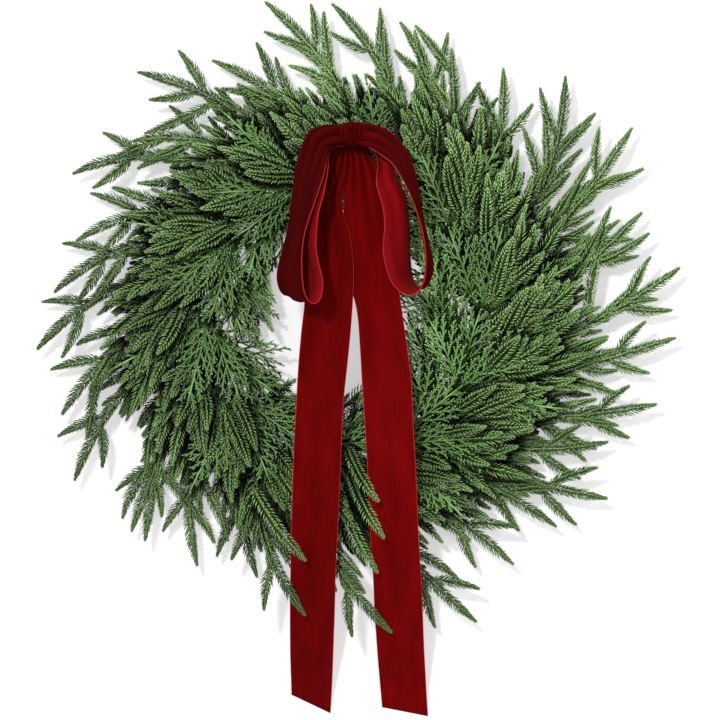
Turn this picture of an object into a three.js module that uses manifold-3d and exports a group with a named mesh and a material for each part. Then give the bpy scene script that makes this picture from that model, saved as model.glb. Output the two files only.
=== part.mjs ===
// A fresh evergreen wreath with a velvet ribbon bow, lying on its back on a table.
//
// Pine sprays swirl counter-clockwise out of a wire ring in two tiers, flat cedar fans lie on top
// round the hole, and a bow with two long tails lies across it. Units are millimetres and +Z is
// up, away from the table. Everything is set out from the middle of the ring, with +Y towards the
// bow; at the end the wreath is moved so that its origin is on the table under the middle of its
// outline.

import * as THREE from "three";
import Module from "manifold-3d";

const wasm = await Module();
wasm.setup();

// ---------------------------------------------------------------- driving dimensions

const RING = { radius: 131, step: 19, wire: 3, lift: 6, sides: 24, braces: 6, brace: 2.4 };

const BINDING = {
  wire: 1.3, turns: 15, across: 14, corner: 5, low: 4.6, high: 39, // heights of the turns
  search: 9, searchStep: 0.5, // degrees along the ring within which each turn finds its place
};

const NEEDLE = { length: 11.5, foot: 1.5, leans: [42, 28, 15] }; // degrees off the twig
const WHORL = { length: 3, pitch: 23, sidePitch: 20, fromTip: 6, turn: 30 }; // six needles each
const BARE_STEP = 36; // from ring to ring along a twig where it bears no needles
const CORE = { root: 2.2, tip: 1.1, side: 1.5, sideTip: 0.9 }; // radii of the twigs
const HANDLE = 0.35; // how far along its chord a path keeps to its first and last heading
const ROLL = 18; // degrees: each spray tilts so that it overlies the next one, like a shingle
const CLEARANCE = 0.5; // least gap between neighbouring sprays

// The tip of each outer spray: its place on the clock face (degrees from +X), its reach from the
// middle of the ring, how far it swirls off the radius (degrees), and how much higher than the
// others it lies, where it passes over the edge of a ribbon tail.
const OUTER_TIPS = [
  [8, 335, 29, 0], [19, 311, 28, 0], [33, 339, 25, 0], [47, 322, 43, 0], [57, 290, 36, 0],
  [68, 284, 27, 0], [79, 296, 48, 0], [92, 309, 46, 0], [104, 321, 37, 0], [117, 284, 42, 0],
  [130, 316, 38, 0], [140, 272, 52, 0], [152, 304, 55, 0], [164, 276, 50, 0], [175, 289, 50, 0],
  [186, 307, 45, 0], [199, 297, 41, 0], [211, 313, 41, 0], [225, 299, 28, 0], [239, 287, 46, 0],
  [251, 272, 38, 0], [262, 297, 44, 42], [278, 315, 38, 30], [293, 329, 27, 0], [304, 296, 15, 0],
  [315, 294, 10, 0], [325, 317, 25, 0], [334, 288, 38, 0], [344, 321, 28, 0], [356, 327, 23, 0],
];
const OUTER = { first: -21, bare: 62, heights: [14, 22, 34, 29] };
const MIDDLE = {
  count: 11, first: -2, advance: 26, reach: 236, reachSway: 12, swirl: 34, swirlSway: 12, bare: 40,
  heights: [20.5, 42, 66, 60],
};
const SIDE_TIPS = { back: [62, 70], length: 50, lengthSway: 6, leave: 42, arrive: 26, bare: 6 };

const CEDAR = {
  count: 10, first: -8, bare: 25, pitch: 15, whorl: 5, finger: 25, core: [1.9, 1.1],
  // The first rib runs along the ring, and the others fork from it, one outwards and one in
  // towards the hole: the length of each, its heading off the radius (degrees), how far along the
  // first rib it starts, and the heights of its path.
  ribs: [
    { length: 104, heading: 84, fork: 0, heights: [27, 46, 74, 76] },
    { length: 112, heading: 40, fork: 12, heights: [31, 50, 84, 76] },
    { length: 74, heading: 132, fork: 21, heights: [32, 40, 55, 50] },
  ],
};

const RIBBON = { width: 48, thick: 1 };
const GREENS = { outer: 0x3c6a38, middle: 0x47773f, cedar: 0x6f9a4a };
const RED = 0x8a0a12;
const WIRE = 0x3a4236;

// The bow as its two edges, from the knot outwards: x and y of one edge, x and y of the other, and
// the height of the middle of the ribbon. A tail lies nearly flat.
const TAIL_LEFT = [
  [-12, 172, 3, 172, 106], [-16, 158, 4, 158, 99], [-26, 140, 3, 140, 96], [-40, 113, -3, 110, 95],
  [-43, 76, 6, 75, 94], [-41, 40, 9, 40, 88], [-40, 13, 8, 14, 81], [-43, -14, 6, -14, 78],
  [-46, -49, 3, -46, 83], [-48, -84, -1, -84, 92], [-50, -120, -3, -120, 96],
  [-51.5, -159, -4.5, -159, 96], [-53, -215, -7, -215, 89], [-54, -255, -9, -255, 73],
  [-54.5, -290, -10, -292, 55], [-54.5, -327, -11.5, -332, 36], [-54, -357, -13, -370, 12],
  [-53.5, -378.5, -14.5, -397, 1.3],
];
const TAIL_RIGHT = [
  [2, 172, 16, 172, 101], [4, 158, 26, 158, 93], [1, 140, 36, 140, 90.5], [-1, 112, 42, 112, 90],
  [-1, 76, 47, 76, 89], [4, 38, 52, 38, 82], [12, 3, 57, 3, 76], [15, -33, 62, -33, 76],
  [17, -67, 66, -67, 85], [20, -113, 68, -114, 95], [22, -147, 70, -147, 96],
  [25, -214, 73, -216, 89], [28, -258, 76, -264, 72], [29.5, -293, 77.5, -300, 55],
  [32, -330, 79, -338, 34], [34.5, -362, 81, -370, 12], [37, -391, 83, -400, 1.3],
];

// A loop is seen from its end: the edge near the viewer, the edge against the greenery, and the
// middle height. The height between the two edges follows from the width of the ribbon.
const LOOP_LEFT = [
  [-15, 172, -22, 183, 116], [-20, 158, -38, 172, 120], [-23, 137, -51, 148, 121],
  [-31, 110, -55, 120, 121], [-40, 82, -59, 90, 121], [-43, 58, -65, 66, 120],
  [-42, 34, -69, 42, 119], [-39, 19, -65, 26, 118], [-32, 11, -58, 19, 118],
  [-24, 15, -49, 23, 118], [-21, 32, -45, 40, 119], [-26, 54, -48, 62, 120],
  [-28, 71, -50, 79, 121], [-26, 98, -48, 106, 121], [-20, 121, -40, 132, 121],
  [-16, 146, -28, 160, 119], [-12, 165, -15, 176, 115],
];
const LOOP_RIGHT = [
  [14, 171, 20, 184, 116], [23, 165, 40, 186, 120], [34, 159, 54, 181, 121],
  [46, 149, 64, 166, 121], [54, 137, 69, 144, 121], [63, 119, 74, 120, 121],
  [71, 97, 78, 94, 121], [76, 76, 83, 70, 120], [78, 54, 87, 48, 119], [76, 34, 83, 33, 118],
  [70, 24, 77, 27, 118], [61, 22, 72, 30, 118], [50, 30, 68, 38, 118], [43, 44, 66, 52, 119],
  [39, 64, 65, 72, 120], [40, 90, 64, 98, 121], [37, 110, 60, 120, 121],
  [31, 130, 50, 140, 121], [29, 146, 39, 158, 119], [20, 160, 27, 170, 115],
];
const GATHER = { share: 0.45, rows: 3 }; // how narrow a loop is at the knot, and for how long
const KNOT = { centre: [0.5, 178, 116], half: [22, 15, 21], around: 24, rows: 7, pleat: 0.09 };
const KNOT_GAP = 0.4;

// The wire that holds the bow: y and z from under the knot down to a hook round the middle wire.
const BOW_WIRE = {
  wire: 1.3, search: 14,
  route: [
    [184, 94.4], [178, 78], [150, 40], [138, 16], [137.5, 7], [135, 3.7], [127, 3.7], [124.5, 7],
    [124.5, 13],
  ],
};

// ---------------------------------------------------------------- small helpers

const rad = THREE.MathUtils.degToRad;
const lerp = THREE.MathUtils.lerp;
const vec = (x, y, z) => new THREE.Vector3(x, y, z);
const heading = (degrees) => vec(Math.cos(rad(degrees)), Math.sin(rad(degrees)), 0);
const polar = (radius, degrees, z) => heading(degrees).multiplyScalar(radius).setZ(z);
const label = (word, n) => `${word}_${String(n + 1).padStart(2, "0")}`;
const average = (points) =>
  points.reduce((sum, p) => sum.add(p), vec(0, 0, 0)).divideScalar(points.length);

// A repeatable value from -1 to 1 for the n-th spray, from a golden-ratio sequence.
function sway(n, stream) {
  const turns = (n + 1) * 0.6180339887 * (stream + 1) + stream * 0.37;
  return 2 * (turns - Math.floor(turns)) - 1;
}

function solidFrom(points, triangles) {
  const positions = new Float32Array(points.flatMap((p) => [p.x, p.y, p.z]));
  const indices = new Uint32Array(triangles);
  return new wasm.Manifold({ numProp: 3, vertProperties: positions, triVerts: indices });
}

const fuse = (solids) => solids.reduce((whole, next) => whole.add(next));

// The largest body of a solid, so that a cut leaves no crumbs behind.
function mainBody(solid) {
  return solid.decompose().reduce((best, body) => (body.volume() > best.volume() ? body : best));
}

// A solid run through cross-sections that have the same number of corners, each set out
// anticlockwise as seen from the far end. It is capped at both ends or closed into a ring. Each
// side is split along one diagonal, or along the other where it is listed as turned.
function sweep(sections, { closed = false, turned = [] } = {}) {
  const count = sections[0].length;
  const triangles = [];
  const spans = closed ? sections.length : sections.length - 1;
  for (let row = 0; row < spans; row += 1) {
    const here = row * count;
    const there = ((row + 1) % sections.length) * count;
    for (let k = 0; k < count; k += 1) {
      const next = (k + 1) % count;
      const [a, b, c, d] = [here + k, here + next, there + next, there + k];
      triangles.push(...(turned.includes(k) ? [a, b, c, a, c, d] : [a, b, d, b, c, d]));
    }
  }
  if (!closed) {
    const last = (sections.length - 1) * count;
    for (let k = 1; k < count - 1; k += 1) {
      triangles.push(0, k + 1, k, last, last + k, last + k + 1);
    }
  }
  return solidFrom(sections.flat(), triangles);
}

// ---------------------------------------------------------------- gaps between slim pieces

// A stick is a straight slim piece with a radius at each end; sprays are measured as sticks.
function stick(from, to, fromRadius, toRadius) {
  const reach = Math.max(fromRadius, toRadius) + CLEARANCE;
  const box = new THREE.Box3().setFromPoints([from, to]).expandByScalar(reach);
  return { from, to, fromRadius, toRadius, box };
}

// The clear space between two sticks at their nearest points.
function gapBetween(one, other) {
  const d1 = one.to.clone().sub(one.from);
  const d2 = other.to.clone().sub(other.from);
  const w = one.from.clone().sub(other.from);
  const [a, b, c, d, e] = [d1.dot(d1), d1.dot(d2), d2.dot(d2), d1.dot(w), d2.dot(w)];
  const limit = (x) => Math.min(1, Math.max(0, x));
  const square = a * c - b * b;
  let t = square > 1e-9 ? limit((b * e - c * d) / square) : 0;
  const u = limit((b * t + e) / c);
  t = limit((b * u - d) / a);
  const apart = w.addScaledVector(d1, t).addScaledVector(d2, -u).length();
  return apart - lerp(one.fromRadius, one.toRadius, t) - lerp(other.fromRadius, other.toRadius, u);
}

const touches = (one, other) =>
  one.box.intersectsBox(other.box) && gapBetween(one, other) < CLEARANCE;

// ---------------------------------------------------------------- twigs with their needles

// A twig is set out first and made solid later, so that needles can lean away from whatever lies
// beside them. Its core is a three-sided tube. A whorl is a short stretch of the tube whose six
// faces are raised to points, which makes six slim needles.
class Twig {
  constructor(curve, up, core, options) {
    const { bare, pitch, phase = 0, flat = false } = options;
    Object.assign(this, { curve, up, core, flat });
    this.needleLength = options.needle ?? NEEDLE.length;
    this.whorlLength = options.whorl ?? WHORL.length;
    this.length = curve.getLength();
    this.rings = [];
    this.needles = [];
    this.addRing(0, phase);
    const whorls = Math.floor((this.length - bare - 4) / pitch);
    const firstWhorl = this.length - WHORL.fromTip - (whorls - 0.4) * pitch;
    for (let s = BARE_STEP; s < firstWhorl - BARE_STEP / 2; s += BARE_STEP) this.addRing(s, phase);
    for (let k = 0; k < whorls; k += 1) {
      this.addWhorl(firstWhorl + k * pitch, flat ? phase : phase + WHORL.turn * (k % 4));
    }
    this.apex = curve.getPointAt(1);
  }

  addRing(s, angle) {
    const share = Math.min(1, s / this.length);
    const along = this.curve.getTangentAt(share);
    const side = along.clone().cross(this.up).normalize();
    const over = side.clone().cross(along);
    const centre = this.curve.getPointAt(share);
    const ring = { share, angle, along, side, over, centre, radius: lerp(...this.core, share) };
    ring.corners = [0, 120, 240].map((turn) =>
      centre.clone().addScaledVector(this.outward(ring, angle + turn), ring.radius),
    );
    this.rings.push(ring);
    return ring;
  }

  outward(ring, angle) {
    const out = ring.side.clone().multiplyScalar(-Math.cos(rad(angle)));
    return out.addScaledVector(ring.over, Math.sin(rad(angle)));
  }

  // Each side of the tube gives two needles, a little to either hand. On a flat twig the top side
  // stays bare, and the needles of the other two point straight left and right.
  addWhorl(s, angle) {
    const low = this.addRing(s, angle);
    const high = this.addRing(s + this.whorlLength, angle);
    const taper = this.flat ? 1.2 - 0.6 * low.share : 1.06 - 0.34 * low.share ** 3;
    low.needles = [];
    for (let k = 0; k < 3; k += 1) {
      const next = (k + 1) % 3;
      const faces = [
        [low.corners[k], low.corners[next], high.corners[k]],
        [low.corners[next], high.corners[next], high.corners[k]],
      ];
      faces.forEach((corners, half) => {
        const round = angle + 120 * k + 60 + (half ? WHORL.turn : -WHORL.turn);
        const needle = {
          foot: average(corners),
          along: low.along,
          out: this.outward(low, this.flat ? [90, 180, 0][k] : round),
          length: this.needleLength * taper * (this.flat && half ? 0.8 : 1),
          bare: this.flat && k === 0,
        };
        this.lean(needle, NEEDLE.leans[0]);
        low.needles.push(needle);
      });
    }
    this.needles.push(...low.needles.filter((needle) => !needle.bare));
  }

  lean(needle, degrees) {
    needle.grown = !needle.bare;
    needle.tip = needle.foot
      .clone()
      .addScaledVector(needle.along, needle.length * Math.cos(rad(degrees)))
      .addScaledVector(needle.out, needle.length * Math.sin(rad(degrees)));
    needle.stick = stick(needle.foot, needle.tip, NEEDLE.foot, 0);
  }

  // Lean each needle closer to the twig until it is clear, or leave it off.
  makeRoom(obstacles) {
    for (const needle of this.needles) {
      needle.grown = NEEDLE.leans.some((degrees) => {
        this.lean(needle, degrees);
        return !obstacles.some((obstacle) => touches(needle.stick, obstacle));
      });
    }
  }

  coreSticks() {
    const stops = [...this.rings, { centre: this.apex, radius: 0 }];
    return stops.slice(1).map((stop, i) => {
      return stick(stops[i].centre, stop.centre, stops[i].radius, stop.radius);
    });
  }

  sticks() {
    const grown = this.needles.filter((needle) => needle.grown);
    return [...this.coreSticks(), ...grown.map((needle) => needle.stick)];
  }

  solid() {
    const points = this.rings.flatMap((ring) => ring.corners);
    const apex = points.push(this.apex) - 1;
    const triangles = [0, 2, 1];
    const face = (a, b, c, needle) => {
      if (!needle?.grown) {
        triangles.push(a, b, c);
        return;
      }
      const tip = points.push(needle.tip) - 1;
      triangles.push(a, b, tip, b, c, tip, c, a, tip);
    };
    this.rings.forEach((ring, row) => {
      for (let k = 0; k < 3; k += 1) {
        const a = 3 * row + k;
        const b = 3 * row + ((k + 1) % 3);
        if (row === this.rings.length - 1) {
          triangles.push(a, b, apex);
        } else {
          face(a, b, a + 3, ring.needles?.[2 * k]);
          face(b, b + 3, a + 3, ring.needles?.[2 * k + 1]);
        }
      }
    });
    return solidFrom(points, triangles);
  }
}

// ---------------------------------------------------------------- sprays

// A path that leaves the ring, sweeps outwards and ends at a tip with its own heading.
function sprayPath(start, tip, endHeading, heights) {
  const chord = tip.clone().sub(start).setZ(0);
  const startHeading = 2 * THREE.MathUtils.radToDeg(Math.atan2(chord.y, chord.x)) - endHeading;
  const handle = HANDLE * chord.length();
  const second = start.clone().addScaledVector(heading(startHeading), handle);
  const third = tip.clone().addScaledVector(heading(endHeading), -handle);
  return new THREE.CubicBezierCurve3(
    start.setZ(heights[0]), second.setZ(heights[1]), third.setZ(heights[2]), tip.setZ(heights[3]),
  );
}

// The normal of the tilted plane in which a spray spreads out.
function rolledUp(curve) {
  const along = curve.getPointAt(1).sub(curve.getPointAt(0)).setZ(0).normalize();
  const left = vec(0, 0, 1).cross(along);
  return vec(0, 0, 1).addScaledVector(left, -Math.tan(rad(ROLL))).normalize();
}

// A side tip leaves the leader at an angle in the tilted plane and bends forward.
function sideTip(leader, back, turn, length, phase) {
  const share = 1 - back / leader.length;
  const start = leader.curve.getPointAt(share);
  const along = leader.curve.getTangentAt(share);
  const leave = along.clone().applyAxisAngle(leader.up, rad(turn * SIDE_TIPS.leave));
  const arrive = along.clone().applyAxisAngle(leader.up, rad(turn * SIDE_TIPS.arrive));
  const bend = start.clone().addScaledVector(leave, length / 2);
  const end = bend.clone().addScaledVector(arrive, length / 2);
  const curve = new THREE.QuadraticBezierCurve3(start, bend, end);
  const options = { bare: SIDE_TIPS.bare, pitch: WHORL.sidePitch, phase };
  return new Twig(curve, leader.up, [CORE.side, CORE.sideTip], options);
}

function pineSpray(name, color, curve, bare, turns, n) {
  const options = { bare, pitch: WHORL.pitch, phase: 60 * sway(n, 3) };
  const leader = new Twig(curve, rolledUp(curve), [CORE.root, CORE.tip], options);
  const sides = turns.map((turn, k) => {
    const length = SIDE_TIPS.length + SIDE_TIPS.lengthSway * sway(n, k + 4);
    return sideTip(leader, SIDE_TIPS.back[k], turn, length, 60 * sway(n, k + 6));
  });
  return { name, color, twigs: [leader, ...sides] };
}

function outerSprays() {
  const step = 360 / OUTER_TIPS.length;
  return OUTER_TIPS.map(([place, reach, swirl, extra], n) => {
    const [root, rise, shoulder, tip] = OUTER.heights;
    const heights = [root, rise + 0.3 * extra, shoulder + extra, tip + extra];
    const start = polar(RING.radius, OUTER.first + n * step, 0);
    const curve = sprayPath(start, polar(reach, place, 0), place + swirl, heights);
    const turns = extra > 0 ? [-1] : [1, -1];
    return pineSpray(label("pine_outer", n), GREENS.outer, curve, OUTER.bare, turns, n);
  });
}

function middleSprays() {
  const { count, first, advance, reach, reachSway, swirl, swirlSway, bare, heights } = MIDDLE;
  return Array.from({ length: count }, (_, n) => {
    const from = first + (360 / count) * n;
    const place = from + advance;
    const tip = polar(reach + reachSway * sway(n, 1), place, 0);
    const end = place + swirl + swirlSway * sway(n, 2);
    const curve = sprayPath(polar(RING.radius, from, 0), tip, end, heights);
    return pineSpray(label("pine_middle", n), GREENS.middle, curve, bare, [1, -1], n + 40);
  });
}

// A rib of cedar leaves between the direction of its stem and its own, and turns to its own.
function cedarRib(start, place, stemHeading, rib) {
  const [, rise, shoulder, tip] = rib.heights;
  const { bare, pitch, whorl, finger, core } = CEDAR;
  const leaving = heading(place + (stemHeading + rib.heading) / 2);
  const arriving = heading(place + rib.heading);
  const end = start.clone().addScaledVector(arriving, rib.length);
  const second = start.clone().addScaledVector(leaving, HANDLE * rib.length);
  const third = end.clone().addScaledVector(arriving, -HANDLE * rib.length);
  const curve = new THREE.CubicBezierCurve3(
    start, second.setZ(rise), third.setZ(shoulder), end.setZ(tip),
  );
  const options = { bare, pitch, phase: 30, flat: true, needle: finger, whorl };
  return new Twig(curve, vec(0, 0, 1), core, options);
}

function cedarSprays() {
  return Array.from({ length: CEDAR.count }, (_, n) => {
    const place = CEDAR.first + (360 / CEDAR.count) * n;
    const [main, ...others] = CEDAR.ribs;
    const trunk = cedarRib(polar(RING.radius, place, main.heights[0]), place, main.heading, main);
    const ribs = others.map((rib) => {
      return cedarRib(trunk.curve.getPointAt(rib.fork / trunk.length), place, main.heading, rib);
    });
    return { name: label("cedar", n), color: GREENS.cedar, twigs: [trunk, ...ribs] };
  });
}

const sprayCores = (spray) => spray.twigs.flatMap((twig) => twig.coreSticks());
const spraySticks = (spray) => spray.twigs.flatMap((twig) => twig.sticks());
const spraySolid = (spray) => fuse(spray.twigs.map((twig) => twig.solid()));

// Let the needles of every spray make room for the other sprays, the ribbons and the wire.
function makeRoom(sprays, fixed) {
  for (const spray of sprays) {
    const own = new THREE.Box3();
    for (const piece of spraySticks(spray)) own.union(piece.box);
    const others = sprays.filter((other) => other !== spray).flatMap(spraySticks);
    const near = [...others, ...fixed].filter((piece) => piece.box.intersectsBox(own));
    spray.twigs.forEach((twig) => twig.makeRoom(near));
  }
}

// ---------------------------------------------------------------- wire frame and binding

// A wire with a few flat sides, bent along points. Its section is carried on from point to point
// without a twist.
function wireSolid(points, radius, corners) {
  const side = points[1].clone().sub(points[0]).cross(vec(0, 0, 1));
  if (side.length() < 1e-6) side.set(-points[0].y, points[0].x, 0);
  const sections = points.map((point, i) => {
    const before = points[Math.max(0, i - 1)];
    const after = points[Math.min(points.length - 1, i + 1)];
    const along = after.clone().sub(before).normalize();
    side.addScaledVector(along, -side.dot(along)).normalize();
    const over = side.clone().cross(along);
    return Array.from({ length: corners }, (_, k) => {
      const turn = (2 * Math.PI * (k + 0.5)) / corners;
      const across = point.clone().addScaledVector(side, -radius * Math.cos(turn));
      return across.addScaledVector(over, radius * Math.sin(turn));
    });
  });
  return sweep(sections);
}

function ringWire(radius, bottom) {
  const half = RING.wire / 2;
  const angles = Array.from({ length: RING.sides }, (_, k) => (360 / RING.sides) * k);
  const sections = angles.map((angle) => [
    polar(radius - half, angle, bottom), polar(radius - half, angle, bottom + RING.wire),
    polar(radius + half, angle, bottom + RING.wire), polar(radius + half, angle, bottom),
  ]);
  return sweep(sections, { closed: true });
}

// Each brace climbs from the inner wire to the raised middle wire and down to the outer one, and
// stands in the middle of a side of the ring.
function bracePaths() {
  const half = RING.wire / 2;
  return Array.from({ length: RING.braces }, (_, k) => {
    const angle = 180 / RING.sides + (360 / RING.braces) * k;
    return [
      polar(RING.radius - RING.step, angle, half), polar(RING.radius, angle, RING.lift + half),
      polar(RING.radius + RING.step, angle, half),
    ];
  });
}

function frameSolid() {
  const wires = [
    ringWire(RING.radius - RING.step, 0), ringWire(RING.radius, RING.lift),
    ringWire(RING.radius + RING.step, 0),
  ];
  const braces = bracePaths().map((path) => wireSolid(path, RING.brace / Math.SQRT2, 4));
  return fuse([...wires, ...braces]);
}

// One turn of the binding wire at a place on the ring: down outside, under the middle wire, up
// inside. The next turn begins across the top.
function turnPoints(angle) {
  const { across, corner, low, high } = BINDING;
  const [inner, outer] = [RING.radius - across, RING.radius + across];
  return [
    polar(outer, angle, high), polar(outer, angle, low + corner), polar(outer - corner, angle, low),
    polar(inner + corner, angle, low), polar(inner, angle, low + corner), polar(inner, angle, high),
  ];
}

const chain = (points, radius) =>
  points.slice(1).map((point, i) => stick(points[i], point, radius, radius));

// Of the paths that a wire could take, the one that the stems leave the most room.
function roomiest(paths, radius, obstacles) {
  const room = paths.map((path) => {
    const pieces = chain(path, radius);
    return Math.min(...pieces.flatMap((piece) => obstacles.map((other) => gapBetween(piece, other))));
  });
  return paths[room.indexOf(Math.max(...room))];
}

// Places from -reach to +reach.
function around(reach, step) {
  const count = Math.floor((2 * reach) / step) + 1;
  return Array.from({ length: count }, (_, k) => k * step - reach);
}

function bindingPath(obstacles) {
  const points = [];
  for (let turn = 0; turn < BINDING.turns; turn += 1) {
    const middle = (360 / BINDING.turns) * turn;
    const shifts = around(BINDING.search, BINDING.searchStep);
    const paths = shifts.map((shift) => [...points.slice(-1), ...turnPoints(middle + shift)]);
    const chosen = roomiest(paths, BINDING.wire / 2, obstacles);
    points.push(...chosen.slice(turn > 0 ? 1 : 0));
  }
  return points;
}

function bowWirePath(obstacles) {
  const paths = around(BOW_WIRE.search, 1).map((x) => BOW_WIRE.route.map(([y, z]) => vec(x, y, z)));
  return roomiest(paths, BOW_WIRE.wire / 2, obstacles);
}

// ---------------------------------------------------------------- bow

const tailEdges = (stations) =>
  stations.map(([ax, ay, bx, by, middle]) => [vec(ax, ay, middle), vec(bx, by, middle)]);

// The two edges of a loop stand apart in height by what the width of the ribbon leaves over. At
// the knot the ribbon is gathered, so that it is narrower there.
function loopEdges(stations) {
  return stations.map(([ax, ay, bx, by, middle], row) => {
    const fromKnot = Math.min(row, stations.length - 1 - row);
    const width = RIBBON.width * lerp(GATHER.share, 1, Math.min(1, fromKnot / GATHER.rows));
    const rise = Math.sqrt(Math.max(0, width ** 2 - (ax - bx) ** 2 - (ay - by) ** 2)) / 2;
    return [vec(ax, ay, middle + rise), vec(bx, by, middle - rise)];
  });
}

// A ribbon as a thin sheet between its two edges. Its two faces are split into like triangles,
// so that they stay parallel where it twists.
function ribbonSolid(edges) {
  const middles = edges.map(average);
  const sections = edges.map(([a, b], row) => {
    const before = middles[Math.max(0, row - 1)];
    const after = middles[Math.min(middles.length - 1, row + 1)];
    const along = after.clone().sub(before);
    const normal = b.clone().sub(a).cross(along).setLength(RIBBON.thick / 2);
    return [
      a.clone().add(normal), b.clone().add(normal), b.clone().sub(normal), a.clone().sub(normal),
    ];
  });
  return sweep(sections, { turned: [2] });
}

// A ribbon measured as lengthwise strips, each as thick as the space between them.
function ribbonSticks(edges) {
  const strips = 4;
  return Array.from({ length: strips }, (_, k) => {
    const path = edges.map(([a, b]) => a.clone().lerp(b, (k + 0.5) / strips));
    return chain(path, (0.55 * RIBBON.width) / strips);
  }).flat();
}

// The knot: a gathered wrap that is wide at the top and draws together below, with pleats that
// run over it from top to bottom.
function knotSolid(grow) {
  const [halfX, halfY, halfZ] = KNOT.half.map((half) => half + grow);
  const centre = vec(...KNOT.centre);
  const ringAt = (row) => {
    const tilt = (Math.PI * row) / (KNOT.rows + 1) - Math.PI / 2;
    const fan = 0.82 + 0.28 * Math.sin(tilt);
    return Array.from({ length: KNOT.around }, (_, k) => {
      const turn = (2 * Math.PI * k) / KNOT.around;
      const out = Math.cos(tilt) ** 0.7 * fan * (1 + (k % 2 ? KNOT.pleat : -KNOT.pleat));
      const offset = vec(halfX * out * Math.sin(turn), halfY * Math.sin(tilt), halfZ * out * Math.cos(turn));
      return centre.clone().add(offset);
    });
  };
  const rings = Array.from({ length: KNOT.rows }, (_, row) => ringAt(row + 1));
  return sweep(rings);
}

function bowSolids() {
  const knot = knotSolid(0);
  const cutter = knotSolid(KNOT_GAP);
  const ribbons = {
    bow_tail_left: tailEdges(TAIL_LEFT),
    bow_tail_right: tailEdges(TAIL_RIGHT),
    bow_loop_left: loopEdges(LOOP_LEFT),
    bow_loop_right: loopEdges(LOOP_RIGHT),
  };
  const solids = { bow_knot: knot };
  for (const [name, edges] of Object.entries(ribbons)) {
    solids[name] = mainBody(ribbonSolid(edges).subtract(cutter));
  }
  return { solids, sticks: Object.values(ribbons).flatMap(ribbonSticks) };
}

// ---------------------------------------------------------------- assembly

function meshFrom(name, solid, color, roughness, metalness) {
  const { vertProperties, triVerts } = solid.getMesh();
  const geometry = new THREE.BufferGeometry();
  geometry.setAttribute("position", new THREE.BufferAttribute(vertProperties, 3));
  geometry.setIndex(new THREE.BufferAttribute(triVerts, 1));
  geometry.computeVertexNormals();
  const mesh = new THREE.Mesh(
    geometry,
    new THREE.MeshStandardMaterial({ color, roughness, metalness }),
  );
  mesh.name = name;
  return mesh;
}

function groupOf(name, meshes) {
  const group = new THREE.Group();
  group.name = name;
  return group.add(...meshes);
}

function buildWreath() {
  const tiers = { outer_tier: outerSprays(), middle_tier: middleSprays(), cedar_tier: cedarSprays() };
  const sprays = Object.values(tiers).flat();
  const bow = bowSolids();

  const braces = bracePaths().flatMap((path) => chain(path, RING.brace));
  const stems = [...sprays.flatMap(sprayCores), ...braces];
  const binding = bindingPath(stems);
  const bowWire = bowWirePath([...stems, ...chain(binding, BINDING.wire)]);
  const wires = [...chain(binding, BINDING.wire / 2), ...chain(bowWire, BOW_WIRE.wire / 2)];
  makeRoom(sprays, [...bow.sticks, ...wires]);

  const wreath = groupOf("evergreen_wreath", [
    groupOf("wires", [
      meshFrom("wire_frame", frameSolid(), WIRE, 0.55, 0.6),
      meshFrom("binding_wire", wireSolid(binding, BINDING.wire / 2, 3), WIRE, 0.5, 0.6),
      meshFrom("bow_wire", wireSolid(bowWire, BOW_WIRE.wire / 2, 3), WIRE, 0.5, 0.6),
    ]),
    ...Object.entries(tiers).map(([name, tier]) => {
      return groupOf(name, tier.map((one) => meshFrom(one.name, spraySolid(one), one.color, 0.8, 0)));
    }),
    groupOf("bow", Object.entries(bow.solids).map(([name, solid]) => meshFrom(name, solid, RED, 0.9, 0))),
  ]);

  const box = new THREE.Box3().setFromObject(wreath);
  const middle = box.getCenter(vec(0, 0, 0));
  wreath.position.set(-middle.x, -middle.y, -box.min.z);
  wreath.updateMatrixWorld(true);
  return wreath;
}

export default buildWreath();
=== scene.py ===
"""Finished look of an evergreen wreath with a red velvet bow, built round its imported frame.

Shapes are worked out in millimetres about the middle of the wire ring: x to the right, y up and z
towards a viewer who looks down on the wreath. They go into metres in the row frame as a mesh is made.
"""

import logging
import math
from collections.abc import Sequence
from dataclasses import dataclass, field
from enum import Enum, IntEnum

import bpy
import numpy as np
from numpy.typing import NDArray
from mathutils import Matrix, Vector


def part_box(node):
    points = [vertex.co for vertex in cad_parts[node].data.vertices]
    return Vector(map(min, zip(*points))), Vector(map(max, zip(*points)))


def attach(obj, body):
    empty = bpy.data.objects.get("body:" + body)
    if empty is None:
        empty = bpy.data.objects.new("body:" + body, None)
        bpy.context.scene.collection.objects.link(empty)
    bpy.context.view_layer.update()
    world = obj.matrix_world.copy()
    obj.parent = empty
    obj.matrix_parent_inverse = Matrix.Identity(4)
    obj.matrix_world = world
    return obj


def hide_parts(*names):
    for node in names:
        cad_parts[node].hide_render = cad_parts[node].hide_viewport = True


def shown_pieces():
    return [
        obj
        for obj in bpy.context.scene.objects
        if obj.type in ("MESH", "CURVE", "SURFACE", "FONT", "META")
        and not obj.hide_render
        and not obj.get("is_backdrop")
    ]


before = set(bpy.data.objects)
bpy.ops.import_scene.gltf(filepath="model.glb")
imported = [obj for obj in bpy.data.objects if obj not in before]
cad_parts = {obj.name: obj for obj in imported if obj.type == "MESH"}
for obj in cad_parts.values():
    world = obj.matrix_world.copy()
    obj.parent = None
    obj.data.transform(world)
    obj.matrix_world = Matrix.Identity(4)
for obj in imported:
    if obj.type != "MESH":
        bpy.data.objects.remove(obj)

Array = NDArray[np.float64]
Ints = NDArray[np.int64]
Material, Tree, Socket = bpy.types.Material, bpy.types.NodeTree, bpy.types.NodeSocket
LOG = logging.getLogger("wreath")
MM = 0.001
UP = np.array([0.0, 0.0, 1.0])


# ---------------------------------------------------------------- numbers and directions


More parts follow.
